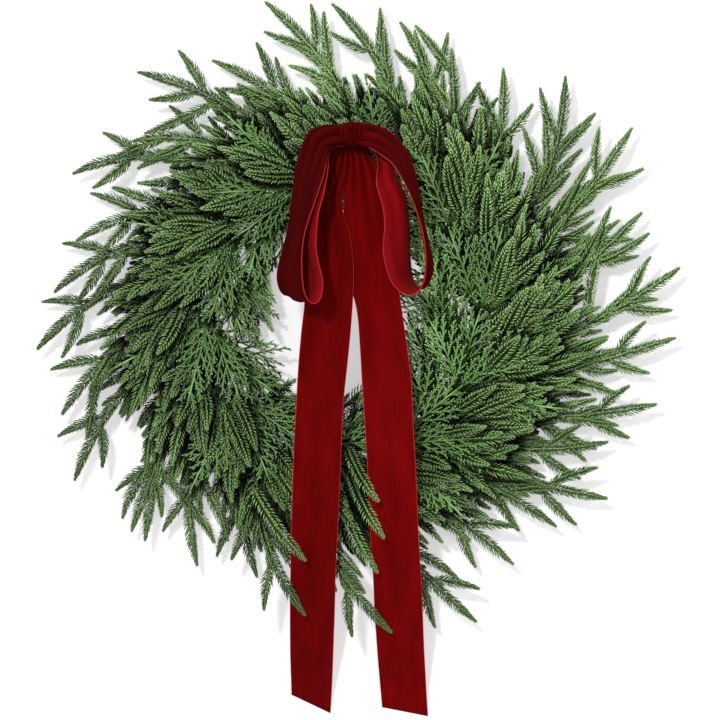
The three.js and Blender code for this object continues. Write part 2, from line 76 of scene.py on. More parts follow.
def sway(n: int, stream: int) -> float:
    """Even, repeatable scatter between -1 and 1.

    The value is 2 * frac((n + 1) * g * (stream + 1) + 0.37 * stream) - 1, with g the golden ratio's
    fraction.

    Args:
        n: Which spray.
        stream: Which of its measures.

    Returns:
        The scatter, from -1 to 1.
    """
    turn = (n + 1) * 0.6180339887 * (stream + 1) + stream * 0.37
    return 2 * (turn - math.floor(turn)) - 1


def unit(vectors: Array) -> Array:
    """Each vector divided by its own length."""
    return vectors / np.maximum(np.linalg.norm(vectors, axis=-1, keepdims=True), 1e-9)


def heading(degrees: float) -> Array:
    """The flat direction at this many degrees from +x towards +y."""
    return np.array([math.cos(math.radians(degrees)), math.sin(math.radians(degrees)), 0.0])


def polar(radius: float, degrees: float, height: float = 0.0) -> Array:
    """The point at this radius, bearing and height from the middle of the ring."""
    return radius * heading(degrees) + height * UP


def at_heights(plan: Sequence[Array], heights: Sequence[float]) -> list[Array]:
    """Points in plan, each moved to its own height."""
    return [np.array([*point[:2], height]) for point, height in zip(plan, heights)]


def turned(vector: Array, axis: Array, degrees: float) -> Array:
    """A vector turned about a unit axis: v cos a + (k x v) sin a + k (k . v)(1 - cos a)."""
    c, s = math.cos(math.radians(degrees)), math.sin(math.radians(degrees))
    return vector * c + np.cross(axis, vector) * s + axis * np.dot(axis, vector) * (1 - c)


def bezier(controls: Sequence[Array], steps: int) -> Array:
    """Points on a Bezier curve: P(t) = sum of C(n, i) t^i (1 - t)^(n - i) P_i.

    Args:
        controls: The curve's three or four control points.
        steps: How many points to work out, ends included.

    Returns:
        An array of steps points.
    """
    t = np.linspace(0.0, 1.0, steps)[:, None]
    n = len(controls) - 1
    return sum(math.comb(n, i) * t**i * (1 - t) ** (n - i) * p for i, p in enumerate(controls))


def spline_rows(rows: Array, finer: int) -> Array:
    """Rows of numbers joined by Catmull-Rom cubics: each column passes smoothly through its values.

    Between rows i and i + 1, h(f) = the Hermite cubic with slopes (r[i+1] - r[i-1]) / 2.

    Args:
        rows: One row of measures for each station.
        finer: How many steps each gap between stations is cut into.

    Returns:
        The finer rows, the first and last as given.
    """
    slope = np.gradient(rows, axis=0)
    t = np.linspace(0.0, len(rows) - 1, (len(rows) - 1) * finer + 1)
    i = np.minimum(t.astype(int), len(rows) - 2)
    f = (t - i)[:, None]
    leave, leave_slope = 2 * f**3 - 3 * f**2 + 1, f**3 - 2 * f**2 + f
    arrive, arrive_slope = 3 * f**2 - 2 * f**3, f**3 - f**2
    start = leave * rows[i] + leave_slope * slope[i]
    return start + arrive * rows[i + 1] + arrive_slope * slope[i + 1]


def evenly(rows: Array, line: Array, step: float) -> Array:
    """Rows sampled again so that their line advances by an even step.

    Args:
        rows: Rows of measures along a strip.
        line: The point that each row stands at.
        step: The advance wanted between rows, in mm.

    Returns:
        The rows at even advances.
    """
    gone = np.concatenate([[0.0], np.cumsum(np.linalg.norm(np.diff(line, axis=0), axis=1))])
    at = np.linspace(0.0, gone[-1], max(int(gone[-1] / step), 2) + 1)
    return np.stack([np.interp(at, gone, column) for column in rows.T], axis=1)


@dataclass
class Line:
    """A smooth line through space, with the direction that its twig holds upward.

    Args:
        points: The line's points, close together, in mm.
        up: The twig's upward direction.
    """

    points: Array
    up: Array
    gone: Array = field(init=False)
    length: float = field(init=False)

    def __post_init__(self) -> None:
        """Works out how far along the line each point is."""
        steps = np.linalg.norm(np.diff(self.points, axis=0), axis=1)
        self.gone = np.concatenate([[0.0], np.cumsum(steps)])
        self.length = float(self.gone[-1])

    def at(self, along: Array) -> tuple[Array, Array, Array, Array]:
        """The line's places and frames at some distances from its foot.

        Tangent = the line's slope, side = up x tangent, top = tangent x side, each of length 1.

        Args:
            along: Distances from the foot, in mm.

        Returns:
            Points, tangents, sides and tops, an array of vectors for each.
        """
        slope = unit(np.gradient(self.points, self.gone, axis=0))
        place, tangent = (
            np.stack([np.interp(along, self.gone, column) for column in table.T], axis=-1)
            for table in (self.points, slope)
        )
        tangent = unit(tangent)
        side = unit(np.cross(self.up, tangent))
        return place, tangent, side, np.cross(tangent, side)

    def fork(self, along: float, turn: float, leave: float, arrive: float, length: float) -> "Line":
        """A side twig that leaves this line and bends forward.

        It is the quadratic Bezier through start, start + L/2 at the leaving angle, and then L/2 more at
        the arriving angle, with the angles measured from this line's own direction.

        Args:
            along: Where it leaves, in mm from the foot.
            turn: 1 for the left side, -1 for the right.
            leave: Its angle as it leaves, in degrees.
            arrive: Its angle at its end, in degrees.
            length: Its length in mm.

        Returns:
            The side twig's line.
        """
        start, tangent, _, _ = (v[0] for v in self.at(np.array([along])))
        bend = start + turned(tangent, self.up, turn * leave) * length / 2
        end = bend + turned(tangent, self.up, turn * arrive) * length / 2
        return Line(bezier([start, bend, end], 14), self.up)


# ---------------------------------------------------------------- meshes


@dataclass
class Skin:
    """Triangles gathered for one piece, each with its finish and its place on what it covers.

    Each point carries "along", which runs from 0 at a foot to 1 at a tip, "tint", a shade of its own
    that also carries painted light and shade, the two measures of a cloth in mm, and in foliage a
    painted shade, which the canopy sets.
    """

    points: list[Array] = field(default_factory=list)
    faces: list[Array] = field(default_factory=list)
    slots: list[Array] = field(default_factory=list)
    along: list[Array] = field(default_factory=list)
    tint: list[Array] = field(default_factory=list)
    cloth: list[Array] = field(default_factory=list)
    depth: list[Array] = field(default_factory=list)
    count: int = 0

    def add(
        self,
        points: Array,
        faces: Ints,
        slot: int | Ints,
        along: Array | float = 0.0,
        tint: Array | float = 0.5,
        cloth: Array | None = None,
    ) -> None:
        """Adds a shell.

        Args:
            points: Its points, in mm.
            faces: Its triangles, as indices into those points.
            slot: The finish of each triangle, or one for all.
            along: How far from foot to tip each point is.
            tint: Each point's own tone, with any painted light and shade.
            cloth: Each point's place on flat cloth, in mm.
        """
        n = len(points)
        self.points.append(points)
        self.faces.append(faces + self.count)
        self.slots.append(np.broadcast_to(slot, len(faces)))
        self.along.append(np.broadcast_to(along, n))
        self.tint.append(np.broadcast_to(tint, n))
        self.cloth.append(np.zeros((n, 2)) if cloth is None else cloth)
        self.count += n

    def piece(self, name: str, finishes: Sequence[Material]) -> bpy.types.Object:
        """Makes the piece, with its place in its mesh, and rides it on the wreath.

        Args:
            name: The piece's name.
            finishes: The materials that the slots stand for.

        Returns:
            The new object.
        """
        points = np.concatenate(self.points) * MM + RING_MIDDLE
        faces = np.concatenate(self.faces).astype(np.int32)
        mesh = bpy.data.meshes.new(name)
        mesh.vertices.add(len(points))
        mesh.loops.add(faces.size)
        mesh.polygons.add(len(faces))
        mesh.vertices.foreach_set("co", points.astype(np.float32).ravel())
        mesh.loops.foreach_set("vertex_index", faces.ravel())
        mesh.polygons.foreach_set("loop_start", np.arange(0, faces.size, 3, dtype=np.int32))
        mesh.polygons.foreach_set("material_index", np.concatenate(self.slots).astype(np.int32))
        mesh.polygons.foreach_set("use_smooth", np.ones(len(faces), bool))
        # The last of these is the painted shade that the canopy sets.
        for label, values in (("along", self.along), ("tint", self.tint), ("depth", self.depth)):
            if not values:
                continue
            store = mesh.attributes.new(label, "FLOAT", "POINT")
            store.data.foreach_set("value", np.concatenate(values).astype(np.float32))
        flat = mesh.uv_layers.new(name="cloth")
        places = np.concatenate(self.cloth)[faces.ravel()]
        flat.uv.foreach_set("vector", places.astype(np.float32).ravel())
        for finish in finishes:
            mesh.materials.append(finish)
        mesh.update()
        mesh.validate()
        piece = bpy.data.objects.new(name, mesh)
        bpy.context.scene.collection.objects.link(piece)
        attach(piece, "root")
        LOG.info("%s: %d points, %d triangles", name, len(points), len(faces))
        return piece


def ring_faces(rings: int, sides: int) -> Ints:
    """Triangles of a closed tube of rings of points, with a pole point at each end.

    Ring r's point s has the index r * sides + s, and the two poles come last. The faces point outward
    where each ring runs counter-clockwise about the tube's direction.

    Args:
        rings: How many rings there are.
        sides: How many points each has.

    Returns:
        The triangles.
    """
    r, s = np.meshgrid(np.arange(rings - 1), np.arange(sides), indexing="ij")
    a, b = r * sides + s, r * sides + (s + 1) % sides
    walls = np.concatenate([np.stack([a, b, b + sides], -1), np.stack([a, b + sides, a + sides], -1)])
    s = np.arange(sides)
    foot, tip, last = rings * sides, rings * sides + 1, (rings - 1) * sides
    ends = [
        np.stack([(s + 1) % sides, s, np.full(sides, foot)], -1),
        np.stack([last + s, last + (s + 1) % sides, np.full(sides, tip)], -1),
    ]
    return np.concatenate([walls.reshape(-1, 3), *ends])


def many(faces: Ints, copies: int, points_each: int) -> Ints:
    """One shell's triangles repeated for copies that follow each other in the list of points."""
    return (faces[None] + np.arange(copies)[:, None, None] * points_each).reshape(-1, 3)


def tube(skin: Skin, line: Line, foot: float, tip: float, slot: int, sides: int, step: float) -> None:
    """Carries a round profile along a line: P = line + r (side cos a + top sin a), r from foot to tip.

    Args:
        skin: Where the tube goes.
        line: Its middle line.
        foot: Its radius at the foot, in mm.
        tip: Its radius at the tip.
        slot: Its finish.
        sides: How many sides the profile has.
        step: How far apart its rings stand.
    """
    along = np.linspace(0.0, line.length, max(int(line.length / step), 2) + 1)
    middle, tangent, side, top = line.at(along)
    share = along / line.length
    radius = (foot + (tip - foot) * share)[:, None, None]
    a = np.arange(sides) * 2 * np.pi / sides
    rings = middle[:, None] + radius * (
        side[:, None] * np.cos(a)[None, :, None] + top[:, None] * np.sin(a)[None, :, None]
    )
    points = np.concatenate([rings.reshape(-1, 3), middle[:1], middle[-1:] + tangent[-1:] * tip])
    shares = np.concatenate([np.repeat(share, sides), [0.0, 1.0]])
    skin.add(points, ring_faces(len(along), sides), slot, shares, 0.5)


def cloth_shell(skin: Skin, grid: Array, flat: Array, thick: Array, edge: int, light: Array) -> None:
    """Gives a sheet its thickness: faces at P + N t/2 and P - N t/2, joined round the rim.

    N is the cross product of the grid's two slopes. The face at +N is the velvet one.

    Args:
        skin: Where the sheet goes.
        grid: Its middle surface, rows along it by columns across it.
        flat: Each point's place on the flat cloth, in mm.
        thick: The thickness at each column.
        edge: How many columns at each side are the woven edge.
        light: The painted light and shade of the pile at each point.
    """
    rows, columns = grid.shape[:2]
    normal = unit(np.cross(np.gradient(grid, axis=1), np.gradient(grid, axis=0)))
    half = thick[None, :, None] / 2
    i = np.arange(rows * columns).reshape(rows, columns)
    a, b, c, d = i[:-1, :-1], i[:-1, 1:], i[1:, 1:], i[1:, :-1]
    front = np.stack([np.stack([a, b, c], -1), np.stack([a, c, d], -1)], 2)
    back = front[..., ::-1] + rows * columns
    quad_slot = np.zeros((rows - 1, columns - 1), int)
    quad_slot[:, :edge] = quad_slot[:, columns - 1 - edge :] = Cloth.EDGE
    face_slot = np.repeat(quad_slot[:, :, None], 2, 2)
    back_slot = np.where(face_slot == Cloth.EDGE, Cloth.EDGE, Cloth.SATIN)
    rim = np.concatenate([i[0, :-1], i[:-1, -1], i[-1, :0:-1], i[:0:-1, 0]])
    after = np.roll(rim, -1)
    low, low_after = rim + rows * columns, after + rows * columns
    band = np.concatenate([np.stack([rim, low, low_after], -1), np.stack([rim, low_after, after], -1)])
    points = np.concatenate([(grid + normal * h).reshape(-1, 3) for h in (half, -half)])
    faces = np.concatenate([front.reshape(-1, 3), back.reshape(-1, 3), band])
    slots = np.concatenate([face_slot.ravel(), back_slot.ravel(), np.full(len(band), Cloth.EDGE)])
    share = np.repeat(np.linspace(0.0, 1.0, rows), columns)
    places = np.tile(flat.reshape(-1, 2), (2, 1))
    skin.add(points, faces, slots, np.tile(share, 2), np.tile(light.ravel(), 2), places)


# ---------------------------------------------------------------- finishes


class Leaf(IntEnum):
    """The finishes of a spray, in the order of its material slots."""

    GREEN = 0
    STEM = 1


class Cloth(IntEnum):
    """The finishes of the ribbon, in the order of its material slots."""

    VELVET = 0
    SATIN = 1
    EDGE = 2


def linear(code: str) -> tuple[float, float, float, float]:
    """An sRGB hex colour as linear red, green, blue and alpha: ((c + 0.055) / 1.055)^2.4 above 0.04."""
    parts = [int(code[i : i + 2], 16) / 255 for i in (1, 3, 5)]
    red, green, blue = ((c / 12.92 if c <= 0.04045 else ((c + 0.055) / 1.055) ** 2.4) for c in parts)
    return red, green, blue, 1.0


def add_node(
    tree: Tree,
    kind: str,
    settings: dict[str, object] | None = None,
    sockets: dict[str | int, object] | None = None,
) -> bpy.types.Node:
    """Adds a node.

    Args:
        tree: The tree that it goes into.
        kind: Its type, without ShaderNode in front.
        settings: Properties of the node itself.
        sockets: For each input, by name or number, a value or the output socket to link to it.

    Returns:
        The node.
    """
    node = tree.nodes.new("ShaderNode" + kind)
    for key, value in (settings or {}).items():
        setattr(node, key, value)
    for key, value in (sockets or {}).items():
        if isinstance(value, bpy.types.NodeSocket):
            tree.links.new(value, node.inputs[key])
        else:
            node.inputs[key].default_value = value
    return node


def ramp(tree: Tree, factor: Socket, stops: Sequence[tuple[float, str]]) -> Socket:
    """Adds a colour ramp with these stops, each a place and an sRGB hex, and returns its colour."""
    node = add_node(tree, "ValToRGB", None, {"Fac": factor})
    elements = node.color_ramp.elements
    while len(elements) < len(stops):
        elements.new(1.0)
    for element, (place, code) in zip(elements, stops):
        element.position, element.color = place, linear(code)
    return node.outputs["Color"]


def new_material(name: str, sockets: dict[str, object]) -> tuple[Material, Tree, bpy.types.Node]:
    """A new material with its tree and its one surface shader, which gets these values."""
    material = bpy.data.materials.new(name)
    material.use_nodes = True
    tree = material.node_tree
    tree.nodes.clear()
    surface = add_node(tree, "BsdfPrincipled", None, sockets)
    add_node(tree, "OutputMaterial", None, {"Surface": surface.outputs[0]})
    return material, tree, surface


def stored(tree: Tree, name: str) -> Socket:
    """The value of this name that each point of a piece carries."""
    return add_node(tree, "Attribute", {"attribute_name": name}).outputs["Fac"]


def in_object(tree: Tree) -> Socket:
    """Each point's place in its object, in metres."""
    return add_node(tree, "TexCoord").outputs["Object"]


def on_cloth(tree: Tree) -> Socket:
    """Each point's place on the flat cloth, in mm."""
    return add_node(tree, "UVMap", {"uv_map": "cloth"}).outputs[0]


def noise(tree: Tree, vector: Socket, scale: float, detail: float) -> bpy.types.Node:
    """Smooth noise with this many grains to each unit of the vector."""
    return add_node(tree, "TexNoise", None, {"Vector": vector, "Scale": scale, "Detail": detail})


def streaks(tree: Tree, across: float, along: float, detail: float) -> Socket:
    """Noise on the cloth with this many grains to each mm across the ribbon and along it."""
    vector = add_node(tree, "Mapping", None, {"Vector": on_cloth(tree), "Scale": (across, along, 1.0)})
    return noise(tree, vector.outputs[0], 1.0, detail).outputs["Fac"]


def ranged(
    tree: Tree, value: Socket, low: float, high: float, first: float = 0.0, last: float = 1.0
) -> Socket:
    """A value that goes from low to high while the given one goes from first to last."""
    sockets = {"Value": value, "From Min": first, "From Max": last, "To Min": low, "To Max": high}
    return add_node(tree, "MapRange", None, sockets).outputs[0]


def times(tree: Tree, colour: Socket, by: Socket, share: float = 1.0) -> Socket:
    """A colour multiplied by another, or by a value, with this share of the result mixed in."""
    settings = {"data_type": "RGBA", "blend_type": "MULTIPLY", "clamp_result": True}
    return add_node(tree, "Mix", settings, {0: share, 6: colour, 7: by}).outputs[2]


def wear(
    tree: Tree, surface: bpy.types.Node, colour: Socket, relief: Socket, strength: float, deep_mm: float
) -> None:
    """Gives a surface its colour, and a bump of this strength and depth."""
    tree.links.new(colour, surface.inputs["Base Color"])
    sockets = {"Height": relief, "Strength": strength, "Distance": deep_mm * MM}
    bump = add_node(tree, "Bump", None, sockets)
    tree.links.new(bump.outputs[0], surface.inputs["Normal"])


@dataclass(frozen=True)
class LeafFinish:
    """Living needle or scale: a waxy skin over green flesh, darker at its foot and paler at its tip;
    the dark foot is partly painted shade and the pale tip partly a painted highlight.

    The wax gives each needle a soft, broad glint; no two twigs are quite the same green. The painted
    shade that the canopy sets darkens a point's colour down to deep and takes its glint away.
    """

    name: str
    foot: str
    body: str
    tip: str
    old: str
    roughness: float
    gloss: float
    dark: float = 0.6
    pale: float = 1.4
    # How dark the fullest painted shade makes the colour.
    deep: float = 0.025
    patch_mm: float = 55.0
    oldest: float = 0.5
    grain_mm: float = 1.6

    def material(self) -> Material:
        """Builds the material: colour from foot to tip, then patches of older green over it."""
        material, tree, surface = new_material(self.name, {"Roughness": self.roughness})
        place = in_object(tree)
        # The dark foot is partly painted shade, the pale tip partly a painted highlight.
        stops = [(0.0, self.foot), (0.25, self.body), (0.7, self.body), (1.0, self.tip)]
        green = ramp(tree, stored(tree, "along"), stops)
        patches = noise(tree, place, 1 / (self.patch_mm * MM), 2.0).outputs["Fac"]
        age = ranged(tree, patches, 0.0, self.oldest, 0.35, 0.7)
        aged = add_node(tree, "Mix", {"data_type": "RGBA"}, {0: age, 6: green, 7: linear(self.old)})
        own = ranged(tree, stored(tree, "tint"), self.dark, self.pale)
        # Painted shade from the canopy: it darkens the colour and takes the glint away.
        depth = stored(tree, "depth")
        light = add_node(
            tree, "Math", {"operation": "MULTIPLY"}, {0: own, 1: ranged(tree, depth, 1.0, self.deep)}
        )
        colour = times(tree, aged.outputs[2], light.outputs[0])
        grain = noise(tree, place, 1 / (self.grain_mm * MM), 1.0).outputs["Fac"]
        wear(tree, surface, colour, grain, 0.25, 0.3)
        tree.links.new(ranged(tree, depth, self.gloss, 0.0), surface.inputs["Specular IOR Level"])
        return material


@dataclass(frozen=True)
class BarkFinish:
    """Young twig bark: brown and matt at its foot, green further on, with fine cracks, and darkened
    by the canopy's painted shade down to deep.
    """

    name: str = "young_twig_bark"
    foot: str = "#4a3a26"
    tip: str = "#7ea556"
    crack_mm: float = 1.5
    # How dark the fullest painted shade makes the bark.
    deep: float = 0.025

    def material(self) -> Material:
        """Builds the material: brown to green along the twig, with bark grain."""
        material, tree, surface = new_material(self.name, {"Roughness": 0.85})
        colour = ramp(tree, stored(tree, "along"), [(0.0, self.foot), (0.25, self.tip)])
        grain = noise(tree, in_object(tree), 1 / (self.crack_mm * MM), 3.0)
        grained = times(tree, colour, grain.outputs["Color"], 0.6)
        # Painted shade from the canopy.
        shaded = times(tree, grained, ranged(tree, stored(tree, "depth"), 1.0, self.deep))
        wear(tree, surface, shaded, grain.outputs["Fac"], 0.5, 0.4)
        return material


@dataclass(frozen=True)
class VelvetFinish:
    """Woven-pile velvet: a deep matt red with the faintest sheen at a slant.

    The pile gives fine streaks along the ribbon, and soft lighter and darker patches where it is
    brushed another way, a painted sheen.
    """

    name: str = "red_velvet_pile"
    deep: str = "#4d0102"
    body: str = "#600203"
    glow: str = "#600610"
    streak_mm: float = 1.3
    patch_mm: float = 26.0
    patch_share: float = 0.62

    def material(self) -> Material:
        """Builds the material: streaks and brushed patches in colour, a pile bump and a red sheen."""
        sheen = {"Sheen Weight": 0.02, "Sheen Roughness": 0.45, "Sheen Tint": linear(self.glow)}
        material, tree, surface = new_material(
            self.name, {"Roughness": 0.95, "Specular IOR Level": 0.03, **sheen}
        )
        pile = streaks(tree, 1 / self.streak_mm, 0.05, 3.0)
        # Painted sheen: broad patches of lighter and darker red for the pile's sheen.
        patch = streaks(tree, 1.6 / self.patch_mm, 1 / (2.2 * self.patch_mm), 2.0)
        both = add_node(tree, "Mix", {"data_type": "FLOAT"}, {0: self.patch_share, 2: pile, 3: patch})
        colour = ramp(tree, both.outputs[0], [(0.36, self.deep), (0.62, self.body)])
        # The tint carries the painted light and shade of the strips and the knot.
        wear(tree, surface, times(tree, colour, stored(tree, "tint")), pile, 0.3, 0.5)
        return material


@dataclass(frozen=True)
class SatinFinish:
    """The ribbon's satin back: a brighter red, smooth, with a painted highlight that makes it lighter
    towards the end of a strip.
    """

    name: str = "red_satin_weave"
    deep: str = "#6c040a"
    body: str = "#81070e"
    weave_mm: float = 0.9
    painted_gleam: float = 1.55

    def material(self) -> Material:
        """Builds the material: fine floats of yarn along the ribbon, over a red with its painted
        highlight.
        """
        sockets = {"Roughness": 0.55, "Specular IOR Level": 0.12}
        material, tree, surface = new_material(self.name, sockets)
        floats = streaks(tree, 1 / self.weave_mm, 0.08, 2.0)
        colour = ramp(tree, floats, [(0.35, self.deep), (0.65, self.body)])
        # Painted highlight: the colour grows lighter towards the end of a strip.
        glow = ranged(tree, stored(tree, "along"), 1.0, self.painted_gleam, 0.62, 0.86)
        wear(tree, surface, times(tree, colour, glow), floats, 0.15, 0.2)
        return material


@dataclass(frozen=True)
class EdgeFinish:
    """The ribbon's woven edge: a tight cord of yarn, a lighter red because it has no pile."""

    name: str = "red_woven_edge"
    deep: str = "#86161d"
    body: str = "#a8242c"
    yarn_mm: float = 1.2

    def material(self) -> Material:
        """Builds the material: yarn turns along the edge, in colour and bump."""
        sockets = {"Roughness": 0.8, "Specular IOR Level": 0.06}
        material, tree, surface = new_material(self.name, sockets)
        yarn = add_node(
            tree, "TexWave", {"wave_type": "BANDS", "bands_direction": "Y"},
            {"Vector": on_cloth(tree), "Scale": 1 / self.yarn_mm / 2, "Distortion": 0.6},
        ).outputs["Fac"]
        wear(tree, surface, ramp(tree, yarn, [(0.1, self.deep), (0.8, self.body)]), yarn, 0.3, 0.2)
        return material


@dataclass(frozen=True)
class WireFinish:
    """Painted steel wire: a smooth dark coat with small chips and a dusty bloom."""

    name: str
    paint: str
    worn: str
    chip_mm: float = 4.0

    def material(self) -> Material:
        """Builds the material: paint with worn spots, which are also a little rougher."""
        material, tree, surface = new_material(self.name, {})
        chips = noise(tree, in_object(tree), 1 / (self.chip_mm * MM), 4.0).outputs["Fac"]
        colour = ramp(tree, chips, [(0.5, self.paint), (0.72, self.worn)])
        tree.links.new(colour, surface.inputs["Base Color"])
        tree.links.new(ranged(tree, chips, 0.35, 0.65), surface.inputs["Roughness"])
        return material


@dataclass(frozen=True)
class FloorFinish:
    """A photographer's light table: matt white acrylic that glows, so its shadows stay light."""

    name: str = "matt_white_acrylic"
    body: str = "#adadad"
    shade: str = "#a9a9a9"
    glow: float = 0.5

    def material(self) -> Material:
        """Builds the material: an even, faintly clouded white and its glow."""
        glow = {"Emission Color": (1.0, 1.0, 1.0, 1.0), "Emission Strength": self.glow}
        material, tree, surface = new_material(
            self.name, {"Roughness": 0.9, "Specular IOR Level": 0.1, **glow}
        )
        clouds = noise(tree, in_object(tree), 2.0, 2.0).outputs["Fac"]
        colour = ramp(tree, clouds, [(0.35, self.shade), (0.65, self.body)])
        tree.links.new(colour, surface.inputs["Base Color"])
        return material


# ---------------------------------------------------------------- foliage


@dataclass
class Growth:
    """A foliage piece before it is made.

    Args:
        name: The piece's name.
        node: The node whose place it takes, or nothing.
        kind: Its slot in the list of looks.
        skin: Its triangles.
    """

    name: str
    node: str | None
    kind: str
    skin: Skin

    def piece(self, finishes: Sequence[Material]) -> None:
        """Makes the piece, in its node's place where it has one."""
        made = self.skin.piece(self.name, finishes)
        if self.node is not None:
            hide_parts(self.node)


@dataclass(frozen=True)
class Canopy:
    """Painted shade: how deep in the foliage each point lies, which darkens it as the leaves above
    would shade it.

    The plan is cut into square cells, and a cell's roof is the mean of the highest points in it and in
    the eight round it. A point's painted shade is 1 - exp(-below (1 - o) / fall) (1 - rim_dark o),
    where below is roof - crown - height and o goes from 0 to 1 between the two rim radii: light comes
    in from the side there, so the painted shade fades, and the single tips there are made darker by
    rim_dark.

    Args:
        cell: The side of a cell in mm.
        reach: How far the cells go from the middle.
        crown: How far below the roof the light is still full, in mm.
        fall: How far down from there the light has fallen to a third.
        rim: The radii between which the foliage thins out into single tips.
        rim_dark: How much darker those are.
    """

    cell: float = 4.0
    reach: float = 420.0
    crown: float = 2.5
    fall: float = 6.0
    rim: tuple[float, float] = (215.0, 260.0)
    rim_dark: float = 0.42

    def shade(self, growths: Sequence[Growth]) -> None:
        """Sets the painted shade of every point of all the foliage."""
        n = int(2 * self.reach / self.cell)
        top = np.zeros((n + 2, n + 2))
        for growth in growths:
            for points in growth.skin.points:
                i, j = self._cells(points)
                np.maximum.at(top, (i, j), points[:, 2])
        roof = np.zeros_like(top)
        near = [top[1 + i : n + 1 + i, 1 + j : n + 1 + j] for i in (-1, 0, 1) for j in (-1, 0, 1)]
        roof[1:-1, 1:-1] = np.mean(near, axis=0)
        thick, thin = self.rim
        for growth in growths:
            for points in growth.skin.points:
                below = np.maximum(roof[self._cells(points)] - self.crown - points[:, 2], 0.0)
                radius = np.hypot(points[:, 0], points[:, 1])
                outside = np.clip((radius - thick) / (thin - thick), 0.0, 1.0)
                lit = np.exp(-below * (1 - outside) / self.fall) * (1 - self.rim_dark * outside)
                growth.skin.depth.append(1 - lit)

    def _cells(self, points: Array) -> tuple[Ints, Ints]:
        """Each point's cell."""
        i, j = ((points[:, :2] + self.reach) / self.cell).astype(int).T + 1
        return i, j


@dataclass(frozen=True)
class Clearing:
    """What the sprays make room for: the tails of the ribbon, which press them down, and the hole.

    Args:
        room: How far below the ribbon a twig's middle stays.
        least: The lowest that the limit gets.
        slope: How fast that limit rises outside the ribbon's edges.
        past: How fast it rises beyond the ribbon's ends.
        low: How far above the table a twig's middle stays, so its needles clear the table.
        hole: The clear radius of the hole.
        left_hole: The same on its left, where sprigs reach in.
        left_arc: The bearings of that side, in degrees.
        right_hole: The same on its right, behind and beside the right tail.
        right_arc: The bearings of that side, through +x.
        closed: How far out the foliage is closed, at each ten degrees from +x.
    """

    room: float = 12.0
    least: float = 4.0
    slope: float = 0.9
    past: float = 3.0
    low: float = 9.5
    hole: float = 76.0
    left_hole: float = 58.0
    left_arc: tuple[float, float] = (150.0, 212.0)
    right_hole: float = 49.0
    right_arc: tuple[float, float] = (300.0, 40.0)
    closed: tuple[float, ...] = (
        252, 238, 266, 284, 226, 248, 246, 262, 244, 242, 232, 236, 268, 234, 230, 220, 226, 222,
        236, 246, 266, 232, 262, 234, 236, 252, 268, 274, 274, 246, 232, 248, 266, 222, 254, 280,
    )

    def pressed(self, line: Line) -> Line:
        """A line held below the tails: z = min(z, ribbon - room + slope * distance beside it)."""
        x, y, z = line.points.T
        for table in (TAIL_LEFT, TAIL_RIGHT):
            rows = np.array(table, float)[::-1]
            level = (rows[:, 1] + rows[:, 3]) / 2
            left, right, height = (np.interp(y, level, rows[:, k]) for k in (0, 2, 4))
            beside = np.maximum(np.maximum(left - x, x - right), 0.0)
            past = np.maximum(np.maximum(level[0] - y, y - level[-1]), 0.0)
            limit = np.maximum(height - self.room, self.least)
            z = np.minimum(z, limit + self.slope * beside + self.past * past)
        return Line(np.stack([x, y, np.maximum(z, self.low)], axis=1), line.up)

    def inside(self, point: Array) -> float:
        """How far inside the closed foliage's outline a point stands, in mm."""
        bearing = math.degrees(math.atan2(point[1], point[0]))
        rounds = (*self.closed, *self.closed, self.closed[0])
        limit = np.interp(bearing, 10.0 * np.arange(-36, 37), rounds)
        return float(limit - math.hypot(point[0], point[1]))

    def outside(self, points: Array) -> NDArray[np.bool_]:
        """Which points stand outside the hole."""
        radius = np.hypot(points[..., 0], points[..., 1])
        bearing = np.degrees(np.arctan2(points[..., 1], points[..., 0])) % 360
        left = (bearing > self.left_arc[0]) & (bearing < self.left_arc[1])
        right = (bearing > self.right_arc[0]) | (bearing < self.right_arc[1])
        clear = np.where(left, self.left_hole, self.hole)
        return radius > np.where(right, self.right_hole, clear)


CLEARING = Clearing()


